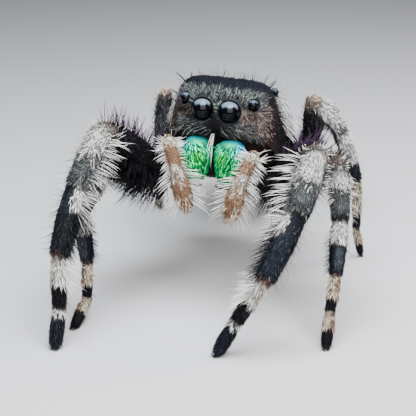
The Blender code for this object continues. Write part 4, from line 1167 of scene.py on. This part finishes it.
# the coat of the head
headCoat = {
    "face": 15500, "faceLength": (0.11, 0.21), "faceWidth": 0.032, "faceEnd": (1.7, 2.1),
    "rear": 9500, "rearLength": (0.18, 0.32), "rearWidth": 0.048,
    "stand": (20.0, 36.0), "bend": 0.5, "tipLight": 1.45, "pepper": 0.52, "eyeClear": 1.08,
    "fringeTipLight": 1.1,
}
gridCoat = {"stray": 0.16, "shake": 0.25, "lightest": 0.95, "pepperShade": 0.10, "dark": (0.01, 0.05),
            "salt": 0.15, "rootShade": 0.38}
middleHair = {
    "count": 10, "root": (-0.08, 0.16, -1.00), "rootSpread": (0.07, 0.02, 0.05), "out": (0.0, -1.0, -0.2),
    "lie": (-0.05, 0.0, -1.0), "lieSpread": (0.07, 0.0, 0.0), "length": (1.1, 1.80), "width": 0.024,
    "stand": (24.0, 34.0), "bend": 1.3, "black": 0.25, "rootShade": 0.8,
}
rimHair = {"count": 110, "round": 1.06, "depth": (0.15, 0.30), "length": (0.12, 0.22), "shortest": 0.6,
           "width": 0.018, "above": (-0.3, 0.4), "stand": (30.0, 55.0), "bend": -0.3, "rootShade": 0.6,
           "shake": 0.2, "mapTurn": 6.3}   # a little more than a whole turn, in radians
mapEdge = (0.02, 0.07)   # hair without a place on the grid takes the edge of the map
# Long hair: number, length, width, stand, bend, dark tone and its share, and where it grows in |x|, y and z.
hairDepth = (-99.0, 1.45, 0.25)
headHair = {
    "mask": (2300, (0.18, 0.34), 0.030, (26.0, 46.0), 0.4, ("black", 0.54),
             (-1.00, 1.75, 0.12), hairDepth, (0.14, 0.74, 0.18)),
    "cheek": (1700, (0.15, 0.30), 0.026, (16.0, 34.0), 0.4, ("black", 0.50),
              (0.90, 2.05, 0.20), hairDepth, (-1.00, 0.30, 0.20)),
    "arc": (340, (0.26, 0.46), 0.026, (20.0, 36.0), 0.5, ("black", 0.55),
            (0.25, 1.50, 0.15), hairDepth, (-0.78, -0.40, 0.06)),
    "clypeus": (230, (0.40, 0.80), 0.028, (24.0, 46.0), 0.9, ("black", 0.55),
                (-1.00, 1.70, 0.10), hairDepth, (-1.05, -0.66, 0.05)),
    "stripe": (430, (0.42, 0.88), 0.046, (40.0, 70.0), 1.0, ("slate", 0.22)),
    "crown": (240, (0.50, 1.00), 0.018, (64.0, 88.0), 0.1, ("purple", 0.50),
              anywhere, (2.50, 4.10, 0.20), (0.575, 99.0, 0.125)),
}
# How it lies, where that isn't the way of the coat: out to its side, out by x, spread, back, up, up by |x|.
hairLies = {
    "stripe": (0.3, 0.0, 0.0, 0.45, -0.9, 0.0),
    "clypeus": (0.8, 0.0, 0.3, -0.25, -0.9, 0.0),
    "arc": (1.0, 0.0, 0.0, 0.0, -0.55, 0.3),
    "crown": (0.0, 0.5, 0.5, -0.3, 0.6, 0.0),
}


# Distance to the nearest eye, in its radii.
def eyeGap(own):
    nearest = np.full(len(own), 99.0)
    for place, radius in (row[:2] for row in eyes.values()):
        for sign in (1.0, -1.0):
            gap = np.linalg.norm(own - np.array(mirrored(place, sign)), axis=1) / radius
            nearest = np.minimum(nearest, gap)
    return nearest


# The lie of the coat: back over the top and sides, up the mask, and out and down under the eyes.
headWays = {"back": (1.0, -0.25), "up": (0.3, 1.0), "down": (0.0, -0.7), "backOut": 0.12, "upOut": 0.5,
            "downOut": (0.9, 0.25), "upFrom": (0.0, 0.35), "backFrom": (0.7, 1.5)}


def headLie(own, normals):
    x, y, z = own.T
    side, still = np.sign(x + 1e-6), np.zeros(len(x))
    near, far = headWays["downOut"]
    outward = {"back": side * headWays["backOut"], "up": x * headWays["upOut"],
               "down": side * (near - far * np.abs(x))}
    back, up, down = (np.stack([outward[name]] + [still + part for part in headWays[name]], axis=1)
                      for name in ("back", "up", "down"))
    lie = mixed(back, mixed(down, up, ramp(*headWays["upFrom"], z)), 1.0 - ramp(*headWays["backFrom"], y))
    return lie - normals * (lie * normals).sum(axis=1, keepdims=True)


# Tufts at sampled places of the head or the abdomen.
def gridBatch(grid, found, lie, length, width, stand, bend, colours, lighter, draws, pepper=0.0):
    strayed = unit(lie) + draws.normal(0.0, gridCoat["stray"], lie.shape)
    tip = np.clip(shaken(colours, gridCoat["shake"], draws) * lighter, 0.0, gridCoat["lightest"])
    tip = np.where(draws.random((len(tip), 1)) < pepper, tip * gridCoat["pepperShade"], tip)
    dark = 1.0 - ramp(*gridCoat["dark"], tip.mean(axis=1))
    tip = mixed(tip, tone("slate"), dark * (draws.random(len(tip)) < gridCoat["salt"]))
    return tufts(found["points"], found["normals"], turned(grid["matrix"], strayed), length, width, stand,
                 bend, colours * gridCoat["rootShade"], tip, found["place"])


def clearOfEyes(own):
    return (eyeGap(own) > headCoat["eyeClear"]).astype(float)


def dressHead():
    draws = np.random.default_rng(seeds["head"])
    own = headGrid["own"].reshape(-1, 3)
    isFace = 1.0 - ramp(*headCoat["faceEnd"], own[:, 1])
    for part, weight in (("face", isFace), ("rear", 1.0 - isFace)):
        found = sampleGrid(headGrid, headCoat[part], clearOfEyes(own) * weight, draws)
        count = len(found["points"])
        batch = gridBatch(headGrid, found, headLie(found["own"], found["ownNormals"]),
                          drawn(headCoat[part + "Length"], count, draws), headCoat[part + "Width"],
                          drawn(headCoat["stand"], count, draws), headCoat["bend"], headTone(found["own"]),
                          headCoat["tipLight"], draws, headCoat["pepper"])
        tuftObject("coat_head_" + part, batch, "short", furMaterial)
    batches = [headFringe(kind, draws) for kind in headHair] + [eyeRims(draws), middleTuft(draws)]
    tuftObject("fringe_head", joined(batches), "long", fringeMaterial)


# How much long hair of a kind each place of the head carries.
def hairWeight(kind, own):
    if kind == "stripe":
        return stripeShare(own)
    return inside(headHair[kind][6:], (np.abs(own[:, 0]), own[:, 1], own[:, 2]))


maskHair = {"light": 1.2, "mint": 0.8}
cheekHair = {"cream": 0.7}


# Hair of one kind takes its colours at random, pale and dark side by side.
def hairTone(kind, own, draws):
    count = len(own)
    dark, share = headHair[kind][5]
    pick = draws.random((count, 1))
    if kind == "mask":
        pale = mixed(headTone(own) * maskHair["light"], tone("mint"),
                     maskHair["mint"] * draws.random(count) ** 2)
    elif kind == "cheek":
        cream = cheekHair["cream"] * draws.random(count)
        pale = mixed(tone("taupe"), tone("cream"), cream) * paintedCheekShade(own, "hair")
    elif kind in ("stripe", "crown"):
        pale = tone("white" if kind == "stripe" else "grey")
    else:
        pale = mixed(tone("ash"), tone("grey"), draws.random(count))
    return np.where(pick < share, tone(dark), pale)


def headFringe(kind, draws):
    number, lengths, width, stands, bend = headHair[kind][:5]
    own = headGrid["own"].reshape(-1, 3)
    found = sampleGrid(headGrid, number, hairWeight(kind, own) * clearOfEyes(own), draws)
    count = len(found["points"])
    if kind in hairLies:
        sideways, widening, spread, back, up, rising = hairLies[kind]
        x = found["own"][:, 0]
        strayed = draws.normal(0.0, spread, count) if spread else np.zeros(count)
        lie = np.stack([strayed + np.sign(x) * sideways + x * widening, np.full(count, back),
                        up + rising * np.abs(x)], axis=1)
    else:
        lie = headLie(found["own"], found["ownNormals"])
    length, stand = drawn(lengths, count, draws), drawn(stands, count, draws)
    return gridBatch(headGrid, found, lie, length, width, stand, bend, hairTone(kind, found["own"], draws),
                     headCoat["fringeTipLight"], draws)


# The pale tuft that hangs from the middle of the face between the jaws.
def middleTuft(draws):
    values = middleHair
    count = values["count"]
    root = np.array(values["root"]) + draws.normal(0.0, 1.0, (count, 3)) * np.array(values["rootSpread"])
    out = np.tile(np.array(values["out"]), (count, 1))
    lie = np.array(values["lie"]) + draws.normal(0.0, 1.0, (count, 3)) * np.array(values["lieSpread"])
    colours = np.where(draws.random((count, 1)) < values["black"], tone("black"), tone("white"))
    return tufts(placed(headMatrix, root), turned(headMatrix, out), turned(headMatrix, lie),
                 drawn(values["length"], count, draws), values["width"], drawn(values["stand"], count, draws),
                 values["bend"], colours * values["rootShade"], colours,
                 mapPlace(drawn(mapEdge, count, draws), draws.random(count)))


# Short pale hairs round each front eye, which fan out over its rim.
def eyeRims(draws):
    batches = []
    count = rimHair["count"]
    for place, radius, look in (eyes["front_middle"], eyes["front_side"], eyes["back_side"]):
        for sign in (1.0, -1.0):
            angle = draws.random(count) * 2.0 * math.pi
            direction = np.array(Vector(mirrored(look, sign)).normalized())
            first = unit(np.cross(direction, np.array((0.0, 0.0, 1.0))))
            out = first * np.cos(angle)[:, None] + np.cross(direction, first) * np.sin(angle)[:, None]
            root = (np.array(mirrored(place, sign)) + out * radius * rimHair["round"]
                    + direction * radius * drawn(rimHair["depth"], (count, 1), draws))
            length = drawn(rimHair["length"], count, draws) * (rimHair["shortest"] + radius)
            colours = mixed(tone("slate"), tone("mint"), ramp(*rimHair["above"], out[:, 2]))
            lie = turned(headMatrix, np.tile(direction, (count, 1)))
            batches.append(tufts(placed(headMatrix, root), turned(headMatrix, out), lie, length,
                                 rimHair["width"], drawn(rimHair["stand"], count, draws), rimHair["bend"],
                                 colours * rimHair["rootShade"], shaken(colours, rimHair["shake"], draws),
                                 mapPlace(drawn(mapEdge, count, draws), angle / rimHair["mapTurn"]),
                                 sink=0.0))
    return joined(batches)


dressHead()
print("head coat")

# the coat of the abdomen, and the short dark hair round the spinnerets and the stalk
abdomenCoat = {"ground": 17000, "groundLength": (0.26, 0.42), "groundWidth": 0.060,
               "groundStand": (20.0, 30.0),
               "long": 1500, "longLength": (0.5, 0.8), "longWidth": 0.030, "longStand": (42.0, 52.0),
               "lie": (0.0, 1.0, -0.12), "bend": 0.5, "tipLight": 1.3}
fingerCoat = {"count": 420, "end": 0.96, "length": (0.14, 0.26), "width": 0.034, "stand": (26.0, 42.0),
              "bend": 0.4, "black": 0.6, "brown": 0.85, "rootShade": 0.5}


def dressAbdomen():
    draws = np.random.default_rng(seeds["abdomen"])
    values = abdomenCoat
    everywhere = np.ones(abdomenGrid["own"].shape[:2])
    for name, layer, kind, material in (("coat_abdomen", "ground", "short", furMaterial),
                                        ("fringe_abdomen", "long", "long", fringeMaterial)):
        found = sampleGrid(abdomenGrid, values[layer], everywhere, draws)
        count = len(found["points"])
        lie = np.tile(np.array(values["lie"]), (count, 1))
        length, stand = (drawn(values[layer + "Length"], count, draws),
                         drawn(values[layer + "Stand"], count, draws))
        batch = gridBatch(abdomenGrid, found, lie, length, values[layer + "Width"], stand, values["bend"],
                          abdomenTone(found["own"]), values["tipLight"], draws)
        tuftObject(name, batch, kind, material)


def dressFingers():
    draws = np.random.default_rng(seeds["fingers"])
    batches = []
    for finger in fingers + [stalk]:
        count = fingerCoat["count"]
        q, degrees = draws.random(count) * fingerCoat["end"], draws.random(count) * 360.0
        place, out, way = onLimb(finger, q, degrees)
        pick = draws.random((count, 1))
        colours = np.where(pick < fingerCoat["black"], tone("black"),
                           np.where(pick < fingerCoat["brown"], tone("brown"), tone("ash")))
        length, stand = drawn(fingerCoat["length"], count, draws), drawn(fingerCoat["stand"], count, draws)
        batches.append(tufts(place, out, way, length, fingerCoat["width"], stand, fingerCoat["bend"],
                             colours * fingerCoat["rootShade"], colours, limbPlace(finger, q, degrees)))
    tuftObject("coat_spinnerets", joined(batches), "short", furMaterial)


dressAbdomen()
dressFingers()
print("abdomen coat")

# the coat of legs and palps
limbCoat = {
    "ground": {0: 3600, 1: 12000, 2: 8200, 3: 6500, 4: 6500},
    "length": {0: (0.12, 0.20), 1: (0.18, 0.31), 2: (0.16, 0.28), 3: (0.16, 0.27), 4: (0.16, 0.27)},
    "width": 0.036, "stand": (15.0, 29.0), "bend": 0.55, "stray": 0.13, "start": 0.05, "feet": (3.9, 4.9),
    "slimming": 0.25, "shake": 0.25, "tipLight": 1.35, "lightest": 0.98, "glint": 3.0, "dulling": 0.5,
    "pepper": 0.38, "pepperShade": 0.08, "salt": 0.10, "rootShade": 0.24,
    # pale hair is longer, wider, more raised and lighter at its root
    "pale": (0.05, 0.25), "paleLength": 0.25, "paleWidth": 0.30, "paleStand": 10.0, "paleRoot": 0.6,
}
# Rows of long hair: from, to, middle angle, spread, length, locks, hairs in each, rake at each end,
# width and colour.
fringeRows = {
    0: ((0.78, 1.22, 95, 70, 0.52, 24, 1, 0, 20, 0.034, "white"),
        (0.78, 1.22, 272, 70, 0.52, 24, 1, 0, 20, 0.034, "white"),
        (0.8, 1.2, 0, 150, 0.24, 26, 1, 40, 66, 0.034, "white"),
        (1.88, 2.36, 15, 80, 0.2, 24, 1, 54, 72, 0.034, "white"),
        (2.1, 2.8, 0, 120, 0.2, 40, 1, 60, 76, 0.028, "brown"),
        (1.25, 1.98, 95, 46, 0.34, 16, 1, 5, 30, 0.034, "white"),
        (1.25, 1.98, 272, 46, 0.62, 22, 1, 5, 30, 0.038, "white"),
        (2.04, 2.85, 93, 46, 0.86, 42, 1, 14, 52, 0.034, "white"),
        (2.04, 2.85, 272, 46, 0.86, 42, 1, 14, 52, 0.034, "white"),
        (1.3, 2.9, 180, 110, 0.55, 50, 1, 20, 50, 0.032, "cream"),
        (2.7, 2.98, 10, 150, 0.3, 12, 2, 55, 70, 0.022, "cream")),
    1: ((0.28, 0.98, 0, 60, 0.98, 64, 1, 0, 24, 0.04, "plum"),
        (0.28, 0.98, 0, 100, 0.5, 130, 1, 6, 34, 0.034, "plum"),
        (0.02, 0.38, 180, 110, 1.72, 140, 2, 4, 20, 0.042, "black"),
        (0.3, 0.64, 180, 110, 1.22, 120, 2, 10, 28, 0.036, "black"),
        (0.58, 0.98, 180, 90, 0.66, 100, 2, 20, 40, 0.026, "black"),
        (0.88, 1.08, 0, 190, 0.34, 50, 1, 0, 60, 0.032, "white"),
        (0.9, 1.08, 350, 170, 0.32, 40, 1, 10, 60, 0.03, "umber"),
        (0.88, 1.06, 0, 190, 0.3, 30, 1, 0, 60, 0.026, "black"),
        (1.04, 1.92, 98, 34, 1.12, 52, 1, -4, 32, 0.036, "white"),
        (1.04, 1.6, 50, 100, 0.36, 84, 1, 44, 62, 0.038, "white"),
        (1.1, 1.6, 50, 110, 0.3, 70, 1, 44, 64, 0.028, "black"),
        (1.08, 1.9, 84, 60, 0.46, 90, 1, 14, 46, 0.032, "black"),
        (1.2, 1.9, 180, 80, 0.55, 26, 2, 30, 40, 0.022, "grey"),
        (1.04, 1.95, 292, 40, 0.88, 15, 1, 0, 26, 0.015, "brown"),
        (1.05, 1.95, 298, 50, 0.26, 44, 2, 26, 50, 0.02, "slate"),
        (2.03, 2.42, 98, 44, 0.84, 32, 1, 2, 40, 0.034, "white"),
        (2.03, 2.3, 60, 60, 0.42, 28, 1, 46, 60, 0.036, "white"),
        (2.4, 2.96, 110, 70, 0.38, 34, 2, 30, 44, 0.02, "slate"),
        (2.16, 2.97, 108, 60, 0.72, 110, 1, 28, 50, 0.034, "black"),
        (2.34, 2.97, 108, 70, 0.62, 26, 1, 28, 48, 0.026, "steel"),
        (2.1, 2.92, 20, 150, 0.28, 90, 1, 62, 76, 0.024, "ash"),
        (1.42, 1.92, 20, 120, 0.26, 60, 1, 60, 76, 0.024, "grey"),
        (2.06, 2.96, 285, 80, 0.34, 44, 2, 28, 44, 0.018, "black"),
        (2.06, 2.96, 292, 50, 0.88, 18, 1, 0, 26, 0.015, "brown"),
        (2.2, 2.96, 180, 90, 0.42, 34, 2, 30, 44, 0.02, "black"),
        (2.92, 2.99, 10, 180, 0.16, 12, 1, 50, 70, 0.026, "grey"),
        (3.02, 3.46, 92, 90, 0.96, 46, 1, 4, 44, 0.034, "white"),
        (3.02, 3.46, 300, 130, 0.34, 24, 2, 30, 50, 0.022, "white"),
        (3.00, 3.9, 292, 60, 0.66, 13, 1, 0, 24, 0.013, "grey"),
        (3.5, 3.92, 60, 181, 0.26, 20, 2, 34, 50, 0.02, "black"),
        (4.2, 4.94, 0, 360, 0.24, 90, 1, 56, 74, 0.026, "steel"),
        (3.92, 4.08, 90, 220, 0.28, 12, 2, 36, 54, 0.022, "white")),
    2: ((0.9, 1.08, 20, 190, 0.3, 40, 1, 10, 60, 0.028, "white"),
        (0.9, 1.06, 20, 190, 0.28, 26, 1, 10, 60, 0.024, "black"),
        (0.4, 0.98, 0, 80, 0.36, 34, 2, 24, 40, 0.018, "plum"),
        (0.45, 0.99, 0, 110, 0.62, 120, 1, 12, 44, 0.038, "purple"),
        (0.05, 0.98, 180, 100, 0.85, 170, 2, 20, 38, 0.02, "black"),
        (1.06, 1.7, 90, 60, 0.56, 30, 1, 8, 42, 0.04, "white"),
        (1.2, 1.56, 330, 120, 0.28, 30, 1, 44, 60, 0.034, "white"),
        (1.04, 1.6, 30, 220, 0.28, 80, 1, 44, 62, 0.028, "black"),
        (2.06, 2.36, 30, 220, 0.28, 34, 1, 44, 62, 0.026, "black"),
        (1.4, 1.92, 100, 90, 0.3, 24, 2, 32, 50, 0.02, "ash"),
        (1.1, 1.92, 290, 60, 0.6, 20, 1, 4, 30, 0.022, "white"),
        (2.26, 2.96, 120, 60, 0.42, 50, 1, 22, 46, 0.03, "black"),
        (2.04, 2.4, 60, 150, 0.38, 50, 1, 30, 54, 0.036, "white"),
        (2.4, 2.95, 180, 160, 0.32, 34, 2, 28, 44, 0.018, "black"),
        (2.04, 2.95, 292, 80, 0.46, 14, 1, 6, 30, 0.013, "grey"),
        (3.02, 3.5, 90, 180, 0.34, 26, 2, 28, 50, 0.022, "cream"),
        (3.95, 4.36, 90, 200, 0.22, 18, 2, 36, 54, 0.018, "cream")),
    3: ((0.1, 0.95, 0, 200, 0.3, 150, 1, 50, 70, 0.028, "ash"),
        (0.1, 0.95, 0, 360, 0.4, 260, 1, 20, 46, 0.028, "black"),
        (0.9, 1.1, 0, 181, 0.26, 20, 2, 30, 50, 0.022, "cream"),
        (1.08, 1.92, 50, 150, 0.28, 46, 1, 38, 54, 0.034, "white"),
        (1.08, 1.92, 30, 240, 0.26, 90, 1, 44, 62, 0.028, "black"),
        (1.02, 1.96, 180, 100, 0.6, 100, 1, 14, 44, 0.034, "black"),
        (1.1, 1.92, 180, 120, 0.3, 26, 2, 34, 48, 0.02, "slate"),
        (2.04, 2.62, 50, 170, 0.3, 54, 1, 36, 52, 0.034, "white"),
        (2.6, 2.95, 120, 200, 0.3, 24, 2, 30, 46, 0.018, "black"),
        (3.02, 3.6, 90, 200, 0.26, 24, 2, 34, 50, 0.02, "cream"),
        (3.95, 4.36, 90, 200, 0.2, 14, 2, 36, 54, 0.018, "cream")),
}
fringeRows[4] = fringeRows[3]
moreRake = {"leg_left_1": 12.0}   # the left front leg's hair lies lower along the leg


def groundBatch(limb, draws):
    values, number = limbCoat, limb["number"]
    q, degrees = sampleLimb(limb, values["ground"][number], limb["q"][0] + values["start"], limb["q"][-1],
                            draws)
    place, out, way = onLimb(limb, q, degrees)
    colours = limbTone(limb, q, degrees)
    slim = 1.0 - values["slimming"] * ramp(*values["feet"], q)
    length = drawn(values["length"][number], len(q), draws) * slim
    lie = way + draws.normal(0.0, values["stray"], way.shape)
    pale = ramp(*values["pale"], colours.mean(axis=1))
    tip = np.clip(shaken(colours, values["shake"], draws) * values["tipLight"], 0.0, values["lightest"])
    glint = values["glint"] * draws.random(len(q)) ** 3 - values["dulling"]
    tip = tip * (1.0 + (1.0 - pale) * glint)[:, None]
    tip = mixed(tip, tip * values["pepperShade"], pale * (draws.random(len(q)) < values["pepper"]))
    tip = mixed(tip, tone("slate"), (1.0 - pale) * (draws.random(len(q)) < values["salt"]))
    least, most = values["stand"]
    stand = least + (most - least + values["paleStand"] * pale) * draws.random(len(q))
    roots = colours * values["rootShade"] * (1.0 + values["paleRoot"] * pale)[:, None]
    return tufts(place, out, lie, length * (1.0 + values["paleLength"] * pale),
                 values["width"] * slim * (1.0 + values["paleWidth"] * pale), stand, values["bend"], roots,
                 tip, limbPlace(limb, q, degrees))


# Long hairs in locks: the hairs of one lock start apart and meet towards its tip.
lockShape = {
    "rakeSpread": 5.0, "turnSpread": 5.0, "apart": 0.016, "aimSpread": 0.05, "reach": (0.70, 1.15),
    "length": (0.85, 1.15), "rise": (0.05, 0.99), "forward": 0.05, "raised": 8.0, "bend": 0.25, "shake": 0.15,
    "lightest": 0.92, "pale": ("white", "cream", "grey"), "paleShades": (0.7, 1.05), "darkShades": (0.6, 1.4),
}


def lockBatch(limb, row, draws):
    low, high, middle, spread, reach, locks, each, rakeFrom, rakeTo, width, name = row
    values = lockShape
    share = (np.arange(locks) + draws.random(locks)) / locks
    lockQ = low + (high - low) * share
    lockTurn = middle + spread * (draws.random(locks) - 0.5)
    lockRake = (rakeFrom + (rakeTo - rakeFrom) * share + draws.normal(0.0, values["rakeSpread"], locks)
                + moreRake.get(limb["name"], 0.0))
    lockReach = reach * drawn(values["reach"], locks, draws)
    pick = np.repeat(np.arange(locks), each)
    q = lockQ[pick] + draws.normal(0.0, values["apart"], len(pick))
    degrees = lockTurn[pick] + draws.normal(0.0, values["turnSpread"], len(pick))
    place, out, way = onLimb(limb, q, degrees)
    centre, centreOut, centreWay = onLimb(limb, lockQ, lockTurn)
    slope = np.radians(lockRake)[:, None]
    aim = (centre + (centreOut * np.cos(slope) + centreWay * np.sin(slope)) * lockReach[:, None])[pick]
    aim = aim + draws.normal(0.0, values["aimSpread"], aim.shape)
    toTip = unit(aim - place)
    rise = np.clip((toTip * out).sum(axis=1), *values["rise"])
    lie = toTip - out * rise[:, None] + way * values["forward"]
    stand = np.degrees(np.arcsin(rise)) + values["raised"]
    length = np.linalg.norm(aim - place, axis=1) * drawn(values["length"], len(pick), draws)
    colours = tone(name) * paintedShadeOnShin(limb, q)[:, None]
    rootShade, tipLight = values["paleShades" if name in values["pale"] else "darkShades"]
    tip = np.clip(shaken(colours, values["shake"], draws) * tipLight, 0.0, values["lightest"])
    return tufts(place, out, lie, length, width, stand, values["bend"], colours * rootShade, tip,
                 limbPlace(limb, q, degrees))


for index, limb in enumerate(limbs):
    draws = np.random.default_rng(seeds["limbs"] + index)
    tuftObject("coat_" + limb["name"], groundBatch(limb, draws), "short", furMaterial)
    rows = [lockBatch(limb, row, draws) for row in fringeRows[limb["number"]]]
    tuftObject("fringe_" + limb["name"], joined(rows), "long", fringeMaterial)

# Bristles: stout dark hairs that stand alone. On the head: root, way, length.
# On a limb: place along it, angle, length.
bristles = {
    "width": 0.050, "stand": (52.0, 68.0), "bend": 0.30, "mapStep": 0.1,
    "headWidth": 0.080, "headStand": 82.0, "headBend": 0.15, "headAcross": (1.0, 0.2, 0.1),
    "head": (((-1.84, 1.60, 1.02), (-0.62, 0.62, 0.48), 1.35),
             ((-1.60, 1.80, 1.16), (-0.20, 0.20, 1.0), 0.45),
             ((-2.00, 1.60, 0.40), (-0.90, 0.30, 0.50), 0.80),
             ((-2.05, 1.60, 0.12), (-0.95, 0.30, 0.30), 0.60),
             ((1.84, 1.70, 1.12), (0.14, 0.70, 0.62), 0.90),
             ((1.98, 1.60, 0.42), (0.90, 0.40, 0.40), 0.60),
             ((2.05, 1.60, 0.12), (0.95, 0.30, 0.30), 0.60),
             ((0.60, 0.60, 1.00), (0.10, -0.2, 1.0), 0.30),
             ((-0.50, 0.60, 1.00), (-0.1, -0.2, 1.0), 0.30)),
    1: ((0.35, 10, 0.9), (0.5, 340, 0.8), (0.62, 15, 0.95), (0.78, 350, 0.8), (0.9, 20, 0.7),
        (1.55, 300, 0.6), (2.35, 300, 0.6), (2.7, 310, 0.5), (2.3, 160, 0.5), (2.3, 205, 0.5),
        (2.62, 160, 0.5), (2.62, 205, 0.5), (2.92, 160, 0.45), (2.92, 205, 0.45), (3.25, 155, 0.4),
        (3.25, 205, 0.4), (3.85, 155, 0.35), (3.85, 205, 0.35)),
    2: ((0.55, 5, 0.6), (0.72, 345, 0.6), (0.88, 10, 0.5), (2.3, 160, 0.4), (2.3, 205, 0.4), (2.65, 160, 0.4),
        (2.65, 205, 0.4), (2.5, 300, 0.45), (3.3, 155, 0.35), (3.3, 205, 0.35), (3.85, 155, 0.3),
        (3.85, 205, 0.3)),
    3: ((0.6, 5, 0.5), (0.8, 350, 0.5), (1.5, 300, 0.4), (2.3, 60, 0.4), (2.3, 300, 0.4), (2.7, 70, 0.4),
        (2.7, 290, 0.4), (3.3, 90, 0.35), (3.3, 270, 0.35), (3.85, 90, 0.35), (3.85, 270, 0.35)),
}
bristles[4] = bristles[3]


def makeBristles():
    draws = np.random.default_rng(seeds["bristles"])
    roots, ways, lengths = (np.array([row[part] for row in bristles["head"]]) for part in range(3))
    out = turned(headMatrix, unit(ways))
    colours = np.tile(tone("black"), (len(roots), 1))
    rows = [tufts(placed(headMatrix, roots), out, np.cross(out, np.array(bristles["headAcross"])), lengths,
                  bristles["headWidth"], bristles["headStand"], bristles["headBend"], colours, colours,
                  mapPlace(lengths * bristles["mapStep"], draws.random(len(roots))))]
    for limb in limbs[:len(legs)]:
        q, degrees, lengths = (np.array(column, float) for column in zip(*bristles[limb["number"]]))
        place, out, way = onLimb(limb, q, degrees)
        colours = np.tile(tone("black"), (len(q), 1))
        rows.append(tufts(place, out, way, lengths, bristles["width"],
                          drawn(bristles["stand"], len(q), draws), bristles["bend"], colours, colours,
                          limbPlace(limb, q, degrees)))
    tuftObject("bristles", joined(rows), "long", fringeMaterial)


makeBristles()
print("coat", sum(coatRows), "triangles in", len(coatRows), "pieces,", max(coatRows), "in the largest")

# camera, light and floor
view = {"azimuth": 13.1, "elevation": 20.75, "target": (-0.33, -0.08, 3.90), "distance": 50.0,
        "pixels": 416, "focal": 1182.0, "sensor": 36.0, "clip": (0.001, 10.0), "floorSize": 0.6,
        "floor": (("Roughness", 0.85), ("Base Color", (0.41, 0.405, 0.41, 1.0))),
        "sky": (("Color", (0.86, 0.88, 0.92, 1.0)), ("Strength", 0.20)), "aim": (0.0, -3.0, 5.0),
        # lamps: name, place, size, power and colour
        "lamps": (("key", (3.0, -12.0, 50.0), (44.0, 30.0), 0.105, (0.88, 0.94, 1.0)),
                  ("front_fill", (14.0, -52.0, 34.0), (60.0, 44.0), 0.060, (1.0, 0.96, 0.93)),
                  ("right_rim", (44.0, 16.0, 34.0), (30.0, 30.0), 0.030, (1.0, 0.97, 0.94)))}


def makeCamera():
    data = bpy.data.cameras.new("camera")
    data.sensor_width = view["sensor"]
    data.lens = view["sensor"] * view["focal"] / view["pixels"]
    data.clip_start, data.clip_end = view["clip"]
    camera = addObject("camera", data)
    a, e = math.radians(view["azimuth"]), math.radians(view["elevation"])
    back = Vector((math.sin(a) * math.cos(e), -math.cos(a) * math.cos(e), math.sin(e)))
    target = Vector(view["target"]) - footprintMiddle
    camera.location = (target + back * view["distance"]) * mm
    camera.rotation_euler = back.to_track_quat("Z", "Y").to_euler()
    bpy.context.scene.camera = camera


def areaLight(name, place, size, power, colour):
    data = bpy.data.lights.new(name, "AREA")
    data.shape = "RECTANGLE"
    data.size, data.size_y = size[0] * mm, size[1] * mm
    data.energy = power
    data.color = colour
    light = addObject(name, data)
    light.location = Vector(place) * mm
    aim = Vector(place) - Vector(view["aim"])
    light.rotation_euler = aim.to_track_quat("Z", "Y").to_euler()


def makeStudio():
    bm = bmesh.new()
    bmesh.ops.create_grid(bm, x_segments=8, y_segments=8, size=view["floorSize"])
    mesh = bpy.data.meshes.new("floor")
    bm.to_mesh(mesh)
    bm.free()
    floor = addObject("floor", mesh)
    mesh.materials.append(newMaterial("floor", view["floor"])[0])
    world = bpy.data.worlds.new("studio")
    world.use_nodes = True
    for socket, value in view["sky"]:
        world.node_tree.nodes["Background"].inputs[socket].default_value = value
    bpy.context.scene.world = world
    for row in view["lamps"]:
        areaLight(*row)


makeCamera()
makeStudio()
print("studio")
